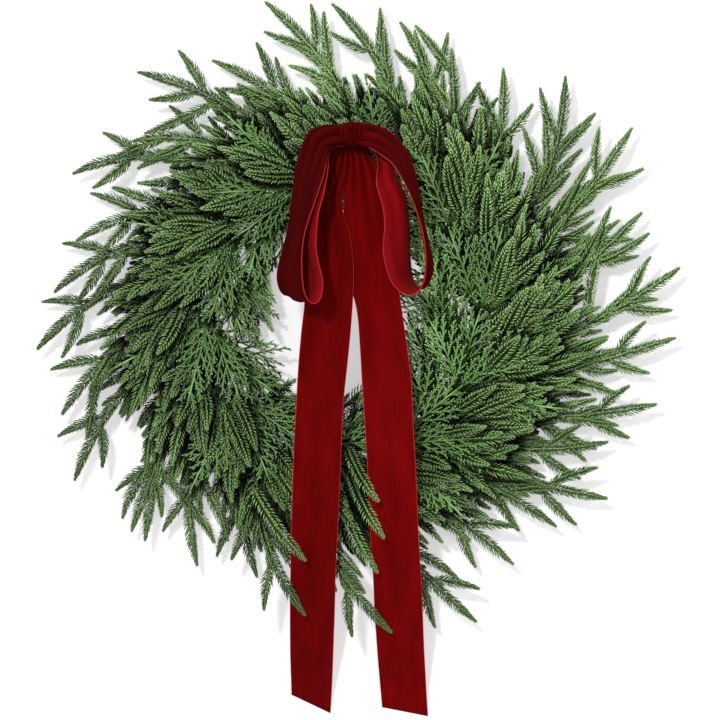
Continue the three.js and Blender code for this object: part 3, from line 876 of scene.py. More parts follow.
@dataclass(frozen=True)
class Brush:
    """The needles on a pine twig: rows of them all round it, leaning forward and curving in.

    Args:
        needle: A full needle's length in mm.
        rows: The angles round the twig at which rows stand, in degrees, 90 on top.
        pitch: How far apart the needles of a row stand.
        lean: A needle's angle to the twig at its foot, in degrees.
        hook: How much less that angle is past its bend.
        joint: The share of its length before the bend.
        thick: A needle's radius at its bend.
        point: The length over which the twig's tip narrows.
        taper: How it narrows: 1 for a cone, less for a rounder tip.
        least: The shares of length, lean and thickness that the last needle has.
        first: The share of length that the first needle has.
        growing: The length over which the needles of the foot grow.
        bend_place: How far from foot to tip the bend counts in the needle's colour.
    """

    needle: float = 12.0
    rows: tuple[float, ...] = (12.0, 62.0, 118.0, 168.0, 240.0, 300.0)
    pitch: float = 3.85
    lean: float = 49.0
    hook: float = 12.0
    joint: float = 0.6
    thick: float = 0.76
    point: float = 30.0
    taper: float = 0.7
    least: tuple[float, float, float] = (0.36, 0.3, 0.7)
    first: float = 0.62
    growing: float = 14.0
    bend_place: float = 0.84

    def cover(
        self, skin: Skin, line: Line, bare: float, shade: float, rng: np.random.Generator
    ) -> None:
        """Puts needles on a twig.

        A needle is a three-sided spindle, which tapers from its bend to both ends. One at distance s
        from the foot of the twig and angle a round it has its own foot at line(s). Up to its bend it
        runs along T cos b + (side cos a + top sin a) sin b, where b is the lean, and from there on the
        same with b less the hook. Near the tip of the twig its length, lean and thickness shrink to
        least with the distance left to the power of the taper, so the twig ends in a point. The rows
        above and below the twig stand half a pitch further on than those at its sides.

        Args:
            skin: Where the needles go.
            line: The twig's line.
            bare: How far from the foot the needles start.
            shade: The twig's own tint.
            rng: Where the small differences come from.
        """
        stations = np.arange(bare, line.length - 0.8, self.pitch)
        if not len(stations):
            return
        around = np.radians(self.rows)[None]
        further = self.pitch / 2 * (np.abs(np.cos(around)) < 0.7)
        s = (stations[:, None] + further).ravel()
        a = np.broadcast_to(around, (len(stations), len(self.rows))).ravel()
        n = len(s)
        s = np.clip(s + rng.uniform(-0.2, 0.2, n), bare, line.length - 0.3)
        a = a + rng.uniform(-0.12, 0.12, n)
        left = np.clip((line.length - s + 1.5) / self.point, 0.0, 1.0) ** self.taper
        long, leaning, stout = (least + (1 - least) * left for least in self.least)
        started = np.clip(self.first + (s - bare) / self.growing, 0.0, 1.0)
        length = self.needle * long * started * rng.uniform(0.92, 1.06, n)
        lean = np.radians(self.lean * leaning + rng.uniform(-4, 4, n))
        foot, tangent, side, top = line.at(s)
        out = side * np.cos(a)[:, None] + top * np.sin(a)[:, None]
        across = unit(np.cross(tangent, out))
        bent = lean - math.radians(self.hook) * leaning
        first, second = (
            tangent * np.cos(b)[:, None] + out * np.sin(b)[:, None] for b in (lean, bent)
        )
        middle = foot + first * (self.joint * length)[:, None]
        end = middle + second * ((1 - self.joint) * length)[:, None]
        other = np.cross(unit(first + second), across)
        corner = np.radians([90.0, 210.0, 330.0])[None, :, None]
        ring = middle[:, None] + (self.thick * stout)[:, None, None] * (
            across[:, None] * np.cos(corner) + other[:, None] * np.sin(corner)
        )
        points = np.concatenate([ring, foot[:, None], end[:, None]], axis=1).reshape(-1, 3)
        pattern = np.array([[1, 0, 3], [2, 1, 3], [0, 2, 3], [0, 1, 4], [1, 2, 4], [2, 0, 4]])
        tint = np.clip(shade + rng.uniform(-0.12, 0.12, n), 0.0, 1.0)
        along = np.tile([self.bend_place] * 3 + [0.0, 1.0], n)
        skin.add(points, many(pattern, n, 5), Leaf.GREEN, along, np.repeat(tint, 5))


@dataclass
class Spray:
    """One bundle of pine: a leader, the stems tied in with it, and the name of the node it stands for.

    Each stem comes with the length of its bare foot and its side twigs.
    """

    node: str
    stems: list[tuple[Line, float, list[Line]]]
    seed: int
    shade: float


@dataclass(frozen=True)
class Companion:
    """A shorter stem tied in with a leader: how its tip and heights differ from the leader's."""

    place: float
    reach: float
    swirl: float
    rise: float


@dataclass
class PineTiers:
    """All pine of the wreath: the swirl of long sprays, the shorter ones on it, and what fills it up.

    The leaders and the first two side twigs run where the nodes' do, from the same measures. Lengths
    are in mm and angles in degrees. A pair of numbers is the range of a seeded draw, but in core and
    side_core a twig's radius at its foot and at its tip.
    """

    ring: float = 131.0
    handle: float = 0.35
    roll: float = 18.0
    outer_first: float = -21.0
    outer_heights: tuple[float, ...] = (14.0, 22.0, 34.0, 29.0)
    outer_bare: float = 36.0
    middle_count: int = 11
    middle_first: float = -2.0
    middle_advance: float = 26.0
    middle_reach: float = 236.0
    middle_reach_sway: float = 12.0
    middle_swirl: float = 34.0
    middle_swirl_sway: float = 12.0
    middle_heights: tuple[float, ...] = (20.5, 42.0, 66.0, 60.0)
    middle_bare: float = 24.0
    fork_back: tuple[float, ...] = (62.0, 70.0)
    fork_length: float = 50.0
    fork_sway: float = 6.0
    fork_leave: float = 42.0
    fork_arrive: float = 26.0
    fork_bare: float = 6.0
    more_first: float = 34.0
    more_step: float = 15.0
    more_step_sway: tuple[float, float] = (0.85, 1.15)
    more_from: float = 24.0
    more_leave: float = 28.0
    more_arrive: float = 9.0
    more_turn: tuple[float, float] = (-7.0, 9.0)
    more_length: tuple[float, float] = (60.0, 94.0)
    more_rise: tuple[float, float] = (-8.0, 10.0)
    more_short: float = 20.0
    more_least: float = 22.0
    overhang: float = 5.0
    trimmed_least: float = 14.0
    edge_length: float = 66.0
    edge_rise: float = 5.0
    inner_count: int = 24
    inner_each: int = 3
    inner_first: float = 4.0
    inner_ahead: tuple[float, float] = (32.0, 42.0)
    inner_reach: tuple[float, float] = (92.0, 112.0)
    inner_rise: tuple[float, float] = (-5.0, 9.0)
    inner_turn: tuple[float, float] = (132.0, 156.0)
    inner_heights: tuple[float, ...] = (10.0, 22.0, 40.0, 36.0)
    inner_bare: float = 10.0
    # Painted shade: these stems, which lie under the middle sprays and fans, get a darker tint.
    inner_shade: float = 0.4
    closer_right: float = 28.0
    closer_from: float = 300.0
    closer_wide: float = 95.0
    closer_left: float = 18.0
    bed_count: int = 50
    bed_each: int = 5
    bed_heights: tuple[float, ...] = (11.0, 14.0, 24.0, 20.0)
    bed_bare: float = 4.0
    # Painted shade: these lowest stems, under all others, get a darker tint.
    bed_shade: float = 0.3
    over_bare: float = 4.0
    over_shade: float = 0.6
    mate_bare: float = 18.0
    mate_place: tuple[float, float] = (-2.5, 2.5)
    mate_reach: tuple[float, float] = (0.92, 1.08)
    mate_turn: tuple[float, float] = (-6.0, 6.0)
    mate_overhang: float = 2.0
    mate_rises: tuple[float, ...] = (0.3, 0.7, 1.0, 0.8)
    outer_company: tuple[Companion, ...] = (Companion(6.0, 0.64, 6.0, 8.0),)
    middle_company: tuple[Companion, ...] = (
        Companion(17.0, 0.92, 0.0, 8.0),
        Companion(-13.0, 0.78, 6.0, 20.0),
        Companion(6.0, 0.70, 14.0, 18.0),
    )
    shade_all: float = 0.53
    shade_sway: float = 0.24
    twig_shade: tuple[float, float] = (-0.18, 0.18)
    # Painted light: sprays towards this bearing get a lighter tint, those opposite a darker one.
    painted_bright_side: float = 0.38
    painted_bright_bearing: float = 35.0
    core: tuple[float, float] = (1.9, 0.8)
    side_core: tuple[float, float] = (1.2, 0.6)
    brush: Brush = field(default_factory=Brush)
    rim_brush: Brush = field(
        default_factory=lambda: Brush(needle=11.4, pitch=3.5, lean=43.0, thick=0.98)
    )

    # start and tip in plan, turn at the tip, and heights of the tips that lie over the ribbon
    OVER = (
        ((-92, -168), (-41, -240), 8, (66, 84, 99, 92)),
        ((2, -128), (32, -182), 10, (60, 82, 112, 108)),
        ((4, -150), (37, -217), 8, (60, 84, 112, 106)),
        ((0, -190), (31, -252), 8, (50, 78, 96, 88)),
    )
    # low stems, outward and inward in turn: start past the ring, heading, reach and advance of the tip
    BED = (
        (-12, (54, 76), (198, 226), (18, 32)),
        (22, (100, 124), (90, 104), (26, 36)),
    )
    # bearing, reach, swirl and extra height of each long spray's tip
    TIPS = (
        (8, 335, 29, 0), (19, 311, 28, 0), (33, 339, 25, 0), (47, 322, 43, 0), (57, 290, 36, 0),
        (68, 284, 27, 0), (79, 296, 48, 0), (92, 309, 46, 0), (104, 321, 37, 0), (117, 284, 42, 0),
        (130, 316, 38, 0), (140, 272, 52, 0), (152, 304, 55, 0), (164, 276, 50, 0), (175, 289, 50, 0),
        (186, 307, 45, 0), (199, 297, 41, 0), (211, 313, 41, 0), (225, 299, 28, 0), (239, 287, 46, 0),
        (251, 272, 38, 0), (262, 297, 44, 42), (278, 315, 38, 30), (293, 329, 27, 0), (304, 296, 15, 0),
        (315, 294, 10, 0), (325, 317, 25, 0), (334, 288, 38, 0), (344, 321, 28, 0), (356, 327, 23, 0),
    )

    # bearing, reach and swirl of the single tips round the outline, between those of the long sprays
    EDGE = (
        (3, 309, -2), (7, 296, 46), (15, 263, 58), (15, 295, -8), (15, 311, 25), (19, 286, 16),
        (27, 308, -5), (32, 287, 28), (35, 286, 10), (38, 307, -2), (45, 281, 55), (46, 257, 64),
        (55, 262, -2), (76, 290, 25), (76, 296, 55), (82, 286, 7), (94, 301, -2), (101, 275, 55),
        (102, 254, 64), (105, 263, 1), (137, 268, 61), (144, 252, 64), (146, 278, 64), (147, 243, 31),
        (151, 263, 10), (177, 253, 55), (186, 267, 25), (205, 283, 55), (222, 297, 34), (228, 297, 34),
        (236, 252, 67), (242, 250, 40), (245, 265, 1), (286, 298, -2), (293, 243, 22), (293, 282, 28),
        (299, 254, 28), (329, 278, -11), (332, 280, 7), (338, 290, 10), (344, 281, -2), (353, 278, 16),
    )

    def leader(self, start: Array, tip: Array, end_heading: float, heights: Sequence[float]) -> Line:
        """A leader's line: a cubic Bezier that leaves and arrives at mirrored angles to its chord.

        Args:
            start: Where it is bound to the ring.
            tip: Its tip, in plan.
            end_heading: Its heading at the tip, in degrees.
            heights: The heights of the curve's four control points.

        Returns:
            The line, with its upward side rolled towards the swirl.
        """
        chord = tip - start
        start_heading = 2 * math.degrees(math.atan2(chord[1], chord[0])) - end_heading
        handle = self.handle * math.hypot(chord[0], chord[1])
        second = start + heading(start_heading) * handle
        third = tip - heading(end_heading) * handle
        along = unit(np.array([chord[0], chord[1], 0.0]))
        up = unit(UP - np.cross(UP, along) * math.tan(math.radians(self.roll)))
        return Line(bezier(at_heights((start, second, third, tip), heights), 60), up)

    def twigs(self, stem: Line, own: Sequence[int], n: int, rng: np.random.Generator) -> list[Line]:
        """A stem's side twigs: those that its node has, then a row of more of them down the stem.

        Args:
            stem: The stem's line.
            own: The side of each of the node's own side twigs, none for a companion.
            n: The spray's number, for its scatter.
            rng: Where the small differences come from.

        Returns:
            The side twigs' lines.
        """
        found = []
        for k, turn in enumerate(own):
            length = self.fork_length + self.fork_sway * sway(n, k + 4)
            leaves = stem.length - self.fork_back[k]
            found.append(stem.fork(leaves, turn, self.fork_leave, self.fork_arrive, length))
        back = self.fork_back[len(own) - 1] + self.more_step if own else self.more_first
        turn = -1 if len(own) == 1 else 1
        while back < stem.length - self.more_from:
            leave = self.more_leave + rng.uniform(*self.more_turn)
            arrive = self.more_arrive + rng.uniform(*self.more_turn)
            longest = max(back - self.more_short, self.more_least)
            length = min(rng.uniform(*self.more_length), longest)
            twig = stem.fork(stem.length - back, turn, leave, arrive, length)
            beyond = self.overhang - CLEARING.inside(twig.points[-1])
            if beyond > 0:
                length = max(length - beyond, self.trimmed_least)
                twig = stem.fork(stem.length - back, turn, leave, arrive, length)
            rise = rng.uniform(*self.more_rise) * np.linspace(0.0, 1.0, len(twig.points)) ** 1.5
            twig = CLEARING.pressed(Line(twig.points + rise[:, None] * UP, twig.up))
            if CLEARING.outside(twig.points).all():
                found.append(twig)
            back += self.more_step * rng.uniform(*self.more_step_sway)
            turn = -turn
        return found

    def bundle(
        self, node: str, start: Array, tip: tuple[float, float, float], heights: Sequence[float],
        bare: float, own: Sequence[int], company: Sequence[Companion], n: int,
    ) -> Spray:
        """A leader with its companions.

        Args:
            node: The node's name.
            start: Where the bundle is bound to the ring.
            tip: The leader's tip: its reach, bearing and swirl.
            heights: The heights of the leader's control points.
            bare: How much of the leader's foot has no needles.
            own: The side of each of the node's own side twigs.
            company: The shorter stems.
            n: The spray's number.

        Returns:
            The bundle.
        """
        rng = np.random.default_rng(900 + n)
        reach, place, swirl = tip
        leader = self.leader(start, polar(reach, place), place + swirl, heights)
        stems = [(leader, bare, self.twigs(leader, own, n, rng))]
        for mate in company:
            at = place + mate.place + rng.uniform(*self.mate_place)
            far = self.ring + (reach - self.ring) * mate.reach * rng.uniform(*self.mate_reach)
            far += min(CLEARING.inside(polar(far, at)) + self.mate_overhang, 0.0)
            raised = [h + mate.rise * share for h, share in zip(heights, self.mate_rises)]
            end = at + swirl + mate.swirl + rng.uniform(*self.mate_turn)
            stem = CLEARING.pressed(self.leader(start, polar(far, at), end, raised))
            stems.append((stem, self.mate_bare, self.twigs(stem, (), n, rng)))
        # Painted light: a lighter tint towards the bright bearing, darker opposite.
        light = self.painted_bright_side * math.cos(math.radians(place - self.painted_bright_bearing))
        return Spray(node, stems, 3000 + n, self.shade_all + light + self.shade_sway * sway(n, 9))

    def edge_twigs(self, sprays: Sequence[Spray]) -> None:
        """Gives the long sprays the single twigs that end round the outline.

        Each leaves the nearest leader, at its point nearest to a twig's length behind the tip, and is
        the quadratic Bezier from there to the tip that arrives with the tip's own heading.

        Args:
            sprays: The long sprays.
        """
        for place, reach, swirl in self.EDGE:
            tip, way = polar(reach, place), heading(place + swirl)
            behind = tip - way * self.edge_length
            gaps = [np.hypot(*(s.stems[0][0].points - behind)[:, :2].T) for s in sprays]
            spray = sprays[int(np.argmin([gap.min() for gap in gaps]))]
            leader = spray.stems[0][0]
            start = leader.points[int(np.argmin(gaps[sprays.index(spray)]))]
            tip = tip + UP * (start[2] + self.edge_rise)
            bend = tip - way * np.hypot(*(tip - start)[:2]) * 0.5
            bend[2] = start[2] + self.edge_rise
            twig = CLEARING.pressed(Line(bezier([start, bend, tip], 24), leader.up))
            spray.stems.append((twig, self.fork_bare, []))

    def sprays(self) -> list[Spray]:
        """Every pine bundle that has a node, the long ones first."""
        found = []
        for n, (place, reach, swirl, extra) in enumerate(self.TIPS):
            start = polar(self.ring, self.outer_first + 12.0 * n)
            low, rise, shoulder, tip = self.outer_heights
            heights = (low, rise + 0.3 * extra, shoulder + extra, tip + extra)
            own = (-1,) if extra else (1, -1)
            name, tip = f"pine_outer_{n + 1:02d}", (reach, place, swirl)
            company = self.outer_company
            found.append(self.bundle(name, start, tip, heights, self.outer_bare, own, company, n))
        self.edge_twigs(found)
        for n in range(self.middle_count):
            place = self.middle_first + 360.0 / self.middle_count * n
            reach = self.middle_reach + self.middle_reach_sway * sway(n, 1)
            swirl = self.middle_swirl + self.middle_swirl_sway * sway(n, 2)
            name, tip = f"pine_middle_{n + 1:02d}", (reach, place + self.middle_advance, swirl)
            start, heights = polar(self.ring, place), self.middle_heights
            bare, company = self.middle_bare, self.middle_company
            found.append(self.bundle(name, start, tip, heights, bare, (1, -1), company, n + 40))
        return found

    def closer(self, bearing: float) -> float:
        """How much further in the stems at the hole's edge reach, on the right and on the left."""
        low, high = CLEARING.left_arc
        right = (bearing - self.closer_from) % 360 < self.closer_wide
        return self.closer_right * right + self.closer_left * (low < bearing % 360 < high)

    def inner(self) -> list[Spray]:
        """Short stems that run along the ring and lean into the hole's edge, three to a piece."""
        found = []
        for group in range(self.inner_count // self.inner_each):
            rng = np.random.default_rng(5000 + group)
            stems = []
            for k in range(self.inner_each):
                place = self.inner_first + 360.0 / self.inner_count * (self.inner_each * group + k)
                ahead = place + rng.uniform(*self.inner_ahead)
                tip = polar(rng.uniform(*self.inner_reach) - self.closer(ahead), ahead)
                heights = [h + rng.uniform(*self.inner_rise) for h in self.inner_heights]
                end = place + rng.uniform(*self.inner_turn)
                stem = CLEARING.pressed(self.leader(polar(self.ring, place), tip, end, heights))
                stems.append((stem, self.inner_bare, self.twigs(stem, (), group, rng)))
            name = f"pine_inner_{group + 1:02d}"
            found.append(Spray(name, stems, 5500 + group, self.inner_shade))
        return found

    def bed(self) -> list[Spray]:
        """Low stems under all others that close the foliage, five to a piece."""
        found = []
        for group in range(self.bed_count // self.bed_each):
            rng = np.random.default_rng(5800 + group)
            stems = []
            for k in range(self.bed_each):
                place = 360.0 / self.bed_count * (self.bed_each * group + k)
                past, turn, reach, advance = self.BED[k % 2]
                end = place + rng.uniform(*turn)
                tip = polar(rng.uniform(*reach), place + rng.uniform(*advance))
                start = polar(self.ring + past, place)
                stem = CLEARING.pressed(self.leader(start, tip, end, self.bed_heights))
                stems.append((stem, self.bed_bare, self.twigs(stem, (), group, rng)))
            name = f"pine_bed_{group + 1:02d}"
            found.append(Spray(name, stems, 5900 + group, self.bed_shade))
        return found

    def over_ribbon(self) -> Spray:
        """The tips that lie over the tails' left edges, seen in the photograph."""
        stems = []
        for start, tip, swirl, heights in self.OVER:
            chord = np.array(tip) - np.array(start)
            end = math.degrees(math.atan2(chord[1], chord[0])) + swirl
            stem = self.leader(np.array([*start, 0.0]), np.array([*tip, 0.0]), end, heights)
            stems.append((stem, self.over_bare, []))
        return Spray("pine_over_ribbon", stems, 6100, self.over_shade)

    def grow(self) -> list[Growth]:
        """Covers every bundle with needles."""
        grown = []
        for spray in [*self.sprays(), *self.inner(), *self.bed(), self.over_ribbon()]:
            rng = np.random.default_rng(spray.seed)
            skin = Skin()
            brush = self.rim_brush if spray.node.startswith("pine_outer") else self.brush
            for stem, bare, sides in spray.stems:
                tube(skin, stem, *self.core, Leaf.STEM, 6, 8.0)
                brush.cover(skin, stem, bare, spray.shade + rng.uniform(*self.twig_shade), rng)
                for side in sides:
                    tube(skin, side, *self.side_core, Leaf.STEM, 5, 9.0)
                    shade = spray.shade + rng.uniform(*self.twig_shade)
                    brush.cover(skin, side, self.fork_bare, shade, rng)
            node = spray.node if spray.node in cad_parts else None
            grown.append(Growth(spray.node + "_needles", node, "pine", skin))
        return grown


# ---------------------------------------------------------------- cedar


@dataclass(frozen=True)
class Rib:
    """A cedar rib: its length, its heading from its place on the ring, where it forks, its heights."""

    length: float
    heading: float
    fork: float
    heights: tuple[float, float, float, float]


@dataclass(frozen=True)
class Strings:
    """Strings of scale leaves: four-sided tubes whose radius swells once for each bead.

    P(t) = start + L (first (t - t^2/2) + last t^2/2), with L the length. A bead has its neck at
    t = k / beads and its rim at t = (k + rim) / beads. The radius there is thick times 0.52 and 1,
    times the taper 1 - 0.36 t. The section is 1.15 wide and 0.8 high, and is turned half a side from
    bead to bead.

    Args:
        starts: Where each string leaves.
        first: Its direction as it leaves.
        last: Its direction at its end.
        length: Its length in mm.
        thick: The radius of all of them, in mm.
        beads: How many beads each has.
    """

    starts: Array
    first: Array
    last: Array
    length: Array
    thick: float
    beads: int
    sides: int = 4
    rim: float = 0.8
    swells: tuple[float, float] = (0.52, 1.0)
    taper: float = 0.36
    wide: float = 1.15
    high: float = 0.8
    point: float = 0.9
    # A neck's and a rim's place in the colour: the dark neck is painted shade.
    bead_ends: tuple[float, float] = (0.06, 0.94)

    def at(self, t: Array) -> tuple[Array, Array]:
        """Each string's places and directions at these shares of its way."""
        t = t[None, :, None]
        first, last = self.first[:, None], self.last[:, None]
        way = first * (t - t**2 / 2) + last * (t**2 / 2)
        place = self.starts[:, None] + self.length[:, None, None] * way
        return place, unit(first * (1 - t) + last * t)

    def cover(self, skin: Skin, shade: float, rng: np.random.Generator) -> None:
        """Adds the strings to a skin, each with a tint of its own near the shade.

        Each point's place on its own bead goes in as its place from foot to tip, so each neck between
        beads takes the dark foot colour, a painted shade in the crease, and each rim the pale tip
        colour.

        Args:
            skin: Where the strings go.
            shade: Their common tint.
            rng: Where the small differences come from.
        """
        rings, n = 2 * self.beads, len(self.starts)
        bead, half = np.divmod(np.arange(rings), 2)
        t = (bead + self.rim * half) / self.beads
        middle, along = self.at(t)
        side = unit(np.cross(UP, along))
        top = np.cross(along, side)
        swell = np.take(self.swells, half) * (1 - self.taper * t)
        a = (np.arange(self.sides) * np.pi / 2 + (bead % 2)[:, None] * np.pi / 4)[None, :, :, None]
        section = side[:, :, None] * np.cos(a) * self.wide + top[:, :, None] * np.sin(a) * self.high
        shell = middle[:, :, None] + self.thick * swell[None, :, None, None] * section
        tip = middle[:, -1:] + along[:, -1:] * self.thick * self.point
        points = np.concatenate([shell.reshape(n, -1, 3), middle[:, :1], tip], axis=1).reshape(-1, 3)
        faces = many(ring_faces(rings, self.sides), n, rings * self.sides + 2)
        share = np.concatenate([np.repeat(np.take(self.bead_ends, half), self.sides), [0.0, 1.0]])
        tint = np.clip(shade + rng.uniform(-0.12, 0.12, n), 0.0, 1.0)
        skin.add(points, faces, Leaf.GREEN, np.tile(share, n), np.repeat(tint, len(share)))


@dataclass
class CedarFans:
    """The flat cedar fans round the hole: ribs with side shoots, all strings of small scale leaves.

    The ribs run where the nodes' do, from the same measures. Beyond the radius far - fade the shoots
    get shorter, so that no fan sticks out. Lengths are in mm and angles in degrees. A pair of numbers
    is the range of a seeded draw, but in core a rib's radius at its foot and at its tip.
    """

    ring: float = 131.0
    handle: float = 0.35
    count: int = 10
    first: float = -8.0
    trunk_heading: float = 84.0
    ribs: tuple[Rib, ...] = (
        Rib(104, 84, 0, (27, 46, 74, 76)),
        Rib(112, 40, 12, (31, 50, 84, 76)),
        Rib(74, 132, 21, (32, 40, 55, 50)),
    )
    company: tuple[tuple[float, Rib], ...] = (
        (3.0, Rib(84, 62, 0, (27, 44, 64, 60))),
        (6.0, Rib(86, 108, 0, (30, 46, 66, 62))),
        (17.0, Rib(84, 74, 0, (26, 40, 56, 52))),
        (20.0, Rib(88, 44, 0, (28, 44, 66, 60))),
        (22.0, Rib(70, 128, 0, (30, 40, 56, 52))),
        (12.0, Rib(72, 146, 0, (26, 32, 44, 38))),
    )
    company_place: tuple[float, float] = (-2.0, 2.0)
    core: tuple[float, float] = (1.5, 0.8)
    bare: float = 10.0
    shade_all: float = 0.34
    # Painted light and shade: fans towards this bearing get a lighter tint, those opposite a darker
    # one.
    painted_shade_side: float = 0.2
    painted_shade_bearing: float = 304.0
    shade_sway: tuple[float, float] = (-0.15, 0.15)
    thick: float = 1.5
    far: float = 232.0
    fade: float = 52.0
    far_least: float = 0.4
    shoot: float = 48.0
    shoot_pitch: float = 14.0
    shoot_angle: float = 34.0
    shoot_beads: int = 14
    shoot_least: float = 4.0
    shoot_forward: float = 0.75
    shoot_sway: tuple[float, float] = (0.82, 1.12)
    shoot_turn: tuple[float, float] = (-5.0, 5.0)
    shoot_tilt: tuple[float, float] = (-0.14, 0.16)
    twiglet: float = 13.0
    twiglet_places: tuple[float, float, float] = (0.16, 0.95, 0.155)
    twiglet_beads: int = 4
    twiglet_least: float = 3.0
    twiglet_thick: float = 0.86
    twiglet_forward: float = 0.7
    twiglet_sway: tuple[float, float] = (0.6, 1.2)
    twiglet_tilt: tuple[float, float] = (-0.16, 0.18)
    tip_length: float = 0.25
    tip_back: float = 4.0
    beside_bow: float = 0.08

    # start, tip and heights of the ribs beside the right tail and inside its loop
    BESIDE = (
        ((108, -48), (68, 34), (36, 52, 64, 60)),
        ((98, -30), (60, 22), (34, 48, 58, 54)),
        ((92, -84), (60, -6), (34, 48, 62, 56)),
        ((114, -92), (86, -8), (38, 54, 70, 66)),
        ((104, -20), (84, 58), (36, 50, 62, 60)),
        ((88, -118), (64, -52), (34, 50, 64, 60)),
        ((114, 20), (72, 70), (32, 44, 54, 52)),
    )

    def line(self, start: Array, place: float, rib: Rib) -> Line:
        """A rib's line, the cubic Bezier that its node follows."""
        leaving = heading(place + (self.trunk_heading + rib.heading) / 2)
        arriving = heading(place + rib.heading)
        end = start + arriving * rib.length
        second = start + leaving * self.handle * rib.length
        third = end - arriving * self.handle * rib.length
        return Line(bezier([start, *at_heights((second, third, end), rib.heights[1:])], 40), UP)

    def beside(self, n: int) -> list[Line]:
        """The ribs beside the right tail that start nearest to the fan of this number."""
        found = []
        for start, tip, heights in self.BESIDE:
            bearing = math.degrees(math.atan2(start[1], start[0]))
            if round((bearing - self.first) / (360.0 / self.count)) % self.count == n:
                foot, end = np.array([*start, 0.0]), np.array([*tip, 0.0])
                bow = turned(end - foot, UP, -90.0) * self.beside_bow
                second, third = foot * 0.66 + end * 0.34 + bow, foot * 0.34 + end * 0.66 + bow
                found.append(Line(bezier(at_heights((foot, second, third, end), heights), 40), UP))
        return found

    def fan(self, skin: Skin, line: Line, light: float, rng: np.random.Generator) -> None:
        """Covers a rib with its shoots and theirs.

        Shoots leave left and right in turn. With u from 0 where they start to 1 at the rib's tip, their
        length is full * min(1, 0.4 + 1.8 u) * (1 - 0.72 u^1.6), which is longest a third of the way up
        and a quarter at the tip. One that would reach into the hole is only a stub. A shoot's own
        twiglets leave it left and right in turn, and are full * share^0.7 * (1.1 - 0.6 t) long, with
        share the shoot's length over the full one and t their place on it.

        Args:
            skin: Where the fan goes.
            line: The rib's line.
            light: The fan's tint, with the painted light and shade of its side of the wreath.
            rng: Where the small differences come from.
        """
        s = np.arange(self.bare, line.length - 3.0, self.shoot_pitch / 2)
        n = len(s)
        u = (s - self.bare) / (line.length - self.bare)
        turn = np.where(np.arange(n) % 2, -1.0, 1.0)[:, None]
        length = self.shoot * np.minimum(1.0, 0.4 + 1.8 * u) * (1 - 0.72 * u**1.6)
        length = length * rng.uniform(*self.shoot_sway, n)
        foot, tangent, side, top = line.at(s)
        reached = foot + (tangent + side * 0.6 * turn) * length[:, None] * 0.8
        length = np.where(CLEARING.outside(reached), length, self.shoot_least)
        inside = (self.far - np.hypot(foot[:, 0], foot[:, 1])) / self.fade
        length = length * np.clip(inside, self.far_least, 1.0)
        angle = np.radians(self.shoot_angle + rng.uniform(*self.shoot_turn, n))[:, None]
        tilt = rng.uniform(*self.shoot_tilt, n)[:, None]
        first = unit(tangent * np.cos(angle) + side * np.sin(angle) * turn + top * tilt)
        last = unit(first + tangent * self.shoot_forward)
        shade = light + rng.uniform(*self.shade_sway)
        shoots = Strings(foot, first, last, length, self.thick, self.shoot_beads)
        shoots.cover(skin, shade, rng)
        t = np.arange(*self.twiglet_places)
        place, way = shoots.at(t)
        across = unit(np.cross(UP, way)) * np.where(np.arange(len(t)) % 2, -1.0, 1.0)[None, :, None]
        lift = rng.uniform(*self.twiglet_tilt, (n, len(t), 1))
        out = unit(way * 0.8 + across * 0.56 + UP * lift)
        small = self.twiglet * (length / self.shoot)[:, None] ** 0.7 * (1.1 - 0.6 * t[None])
        small = small * rng.uniform(*self.twiglet_sway, (n, len(t)))
        keep = small > self.twiglet_least
        last = unit(out[keep] + way[keep] * self.twiglet_forward)
        thick = self.thick * self.twiglet_thick
        Strings(place[keep], out[keep], last, small[keep], thick, self.twiglet_beads).cover(
            skin, shade, rng
        )
        end, way, _, _ = line.at(np.array([line.length - self.tip_back]))
        length = np.array([self.shoot * self.tip_length])
        Strings(end, way, way, length, self.thick, self.twiglet_beads).cover(skin, shade, rng)

    def grow(self) -> list[Growth]:
        """Covers every fan with its strings of scale leaves."""
        grown = []
        main, *others = self.ribs
        for n in range(self.count):
            rng = np.random.default_rng(7000 + n)
            place = self.first + 360.0 / self.count * n
            trunk = self.line(polar(self.ring, place, main.heights[0]), place, main)
            lines = [trunk]
            for rib in others:
                lines.append(self.line(trunk.at(np.array([float(rib.fork)]))[0][0], place, rib))
            for beyond, rib in self.company:
                at = place + beyond + rng.uniform(*self.company_place)
                lines.append(self.line(polar(self.ring, at, rib.heights[0]), at, rib))
            # Painted light and shade: fans on one side of the wreath get a lighter tint, those opposite
            # a darker one.
            facing = math.cos(math.radians(place - self.painted_shade_bearing))
            shade = self.shade_all + self.painted_shade_side * facing
            skin = Skin()
            for line in map(CLEARING.pressed, [*lines, *self.beside(n)]):
                tube(skin, line, *self.core, Leaf.GREEN, 5, 6.0)
                self.fan(skin, line, shade, rng)
            node = f"cedar_{n + 1:02d}"
            grown.append(Growth(node + "_scales", node, "cedar", skin))
        return grown


# ---------------------------------------------------------------- ribbon


class Held(Enum):
    """How a strip of the ribbon is held."""

    TAIL = "draped"
    LOOP = "gathered"


@dataclass(frozen=True)
class Strip:
    """A strip of the ribbon: the node it stands for, how it is held and its flat length in mm.

    A station holds the near edge's x and y, the far edge's x and y, and the middle height. pile_first
    is set where the pile lies to the left of a walk along the strip with the near edge on the right.
    Its lightness share is painted light and shade: the velvet's colour is made lighter or darker for
    how the light falls on the strip, the loops that stand on edge darkest.
    """

    node: str
    held: Held
    length: float
    stations: tuple[tuple[float, ...], ...]
    painted_light: float
    pile_first: bool = False


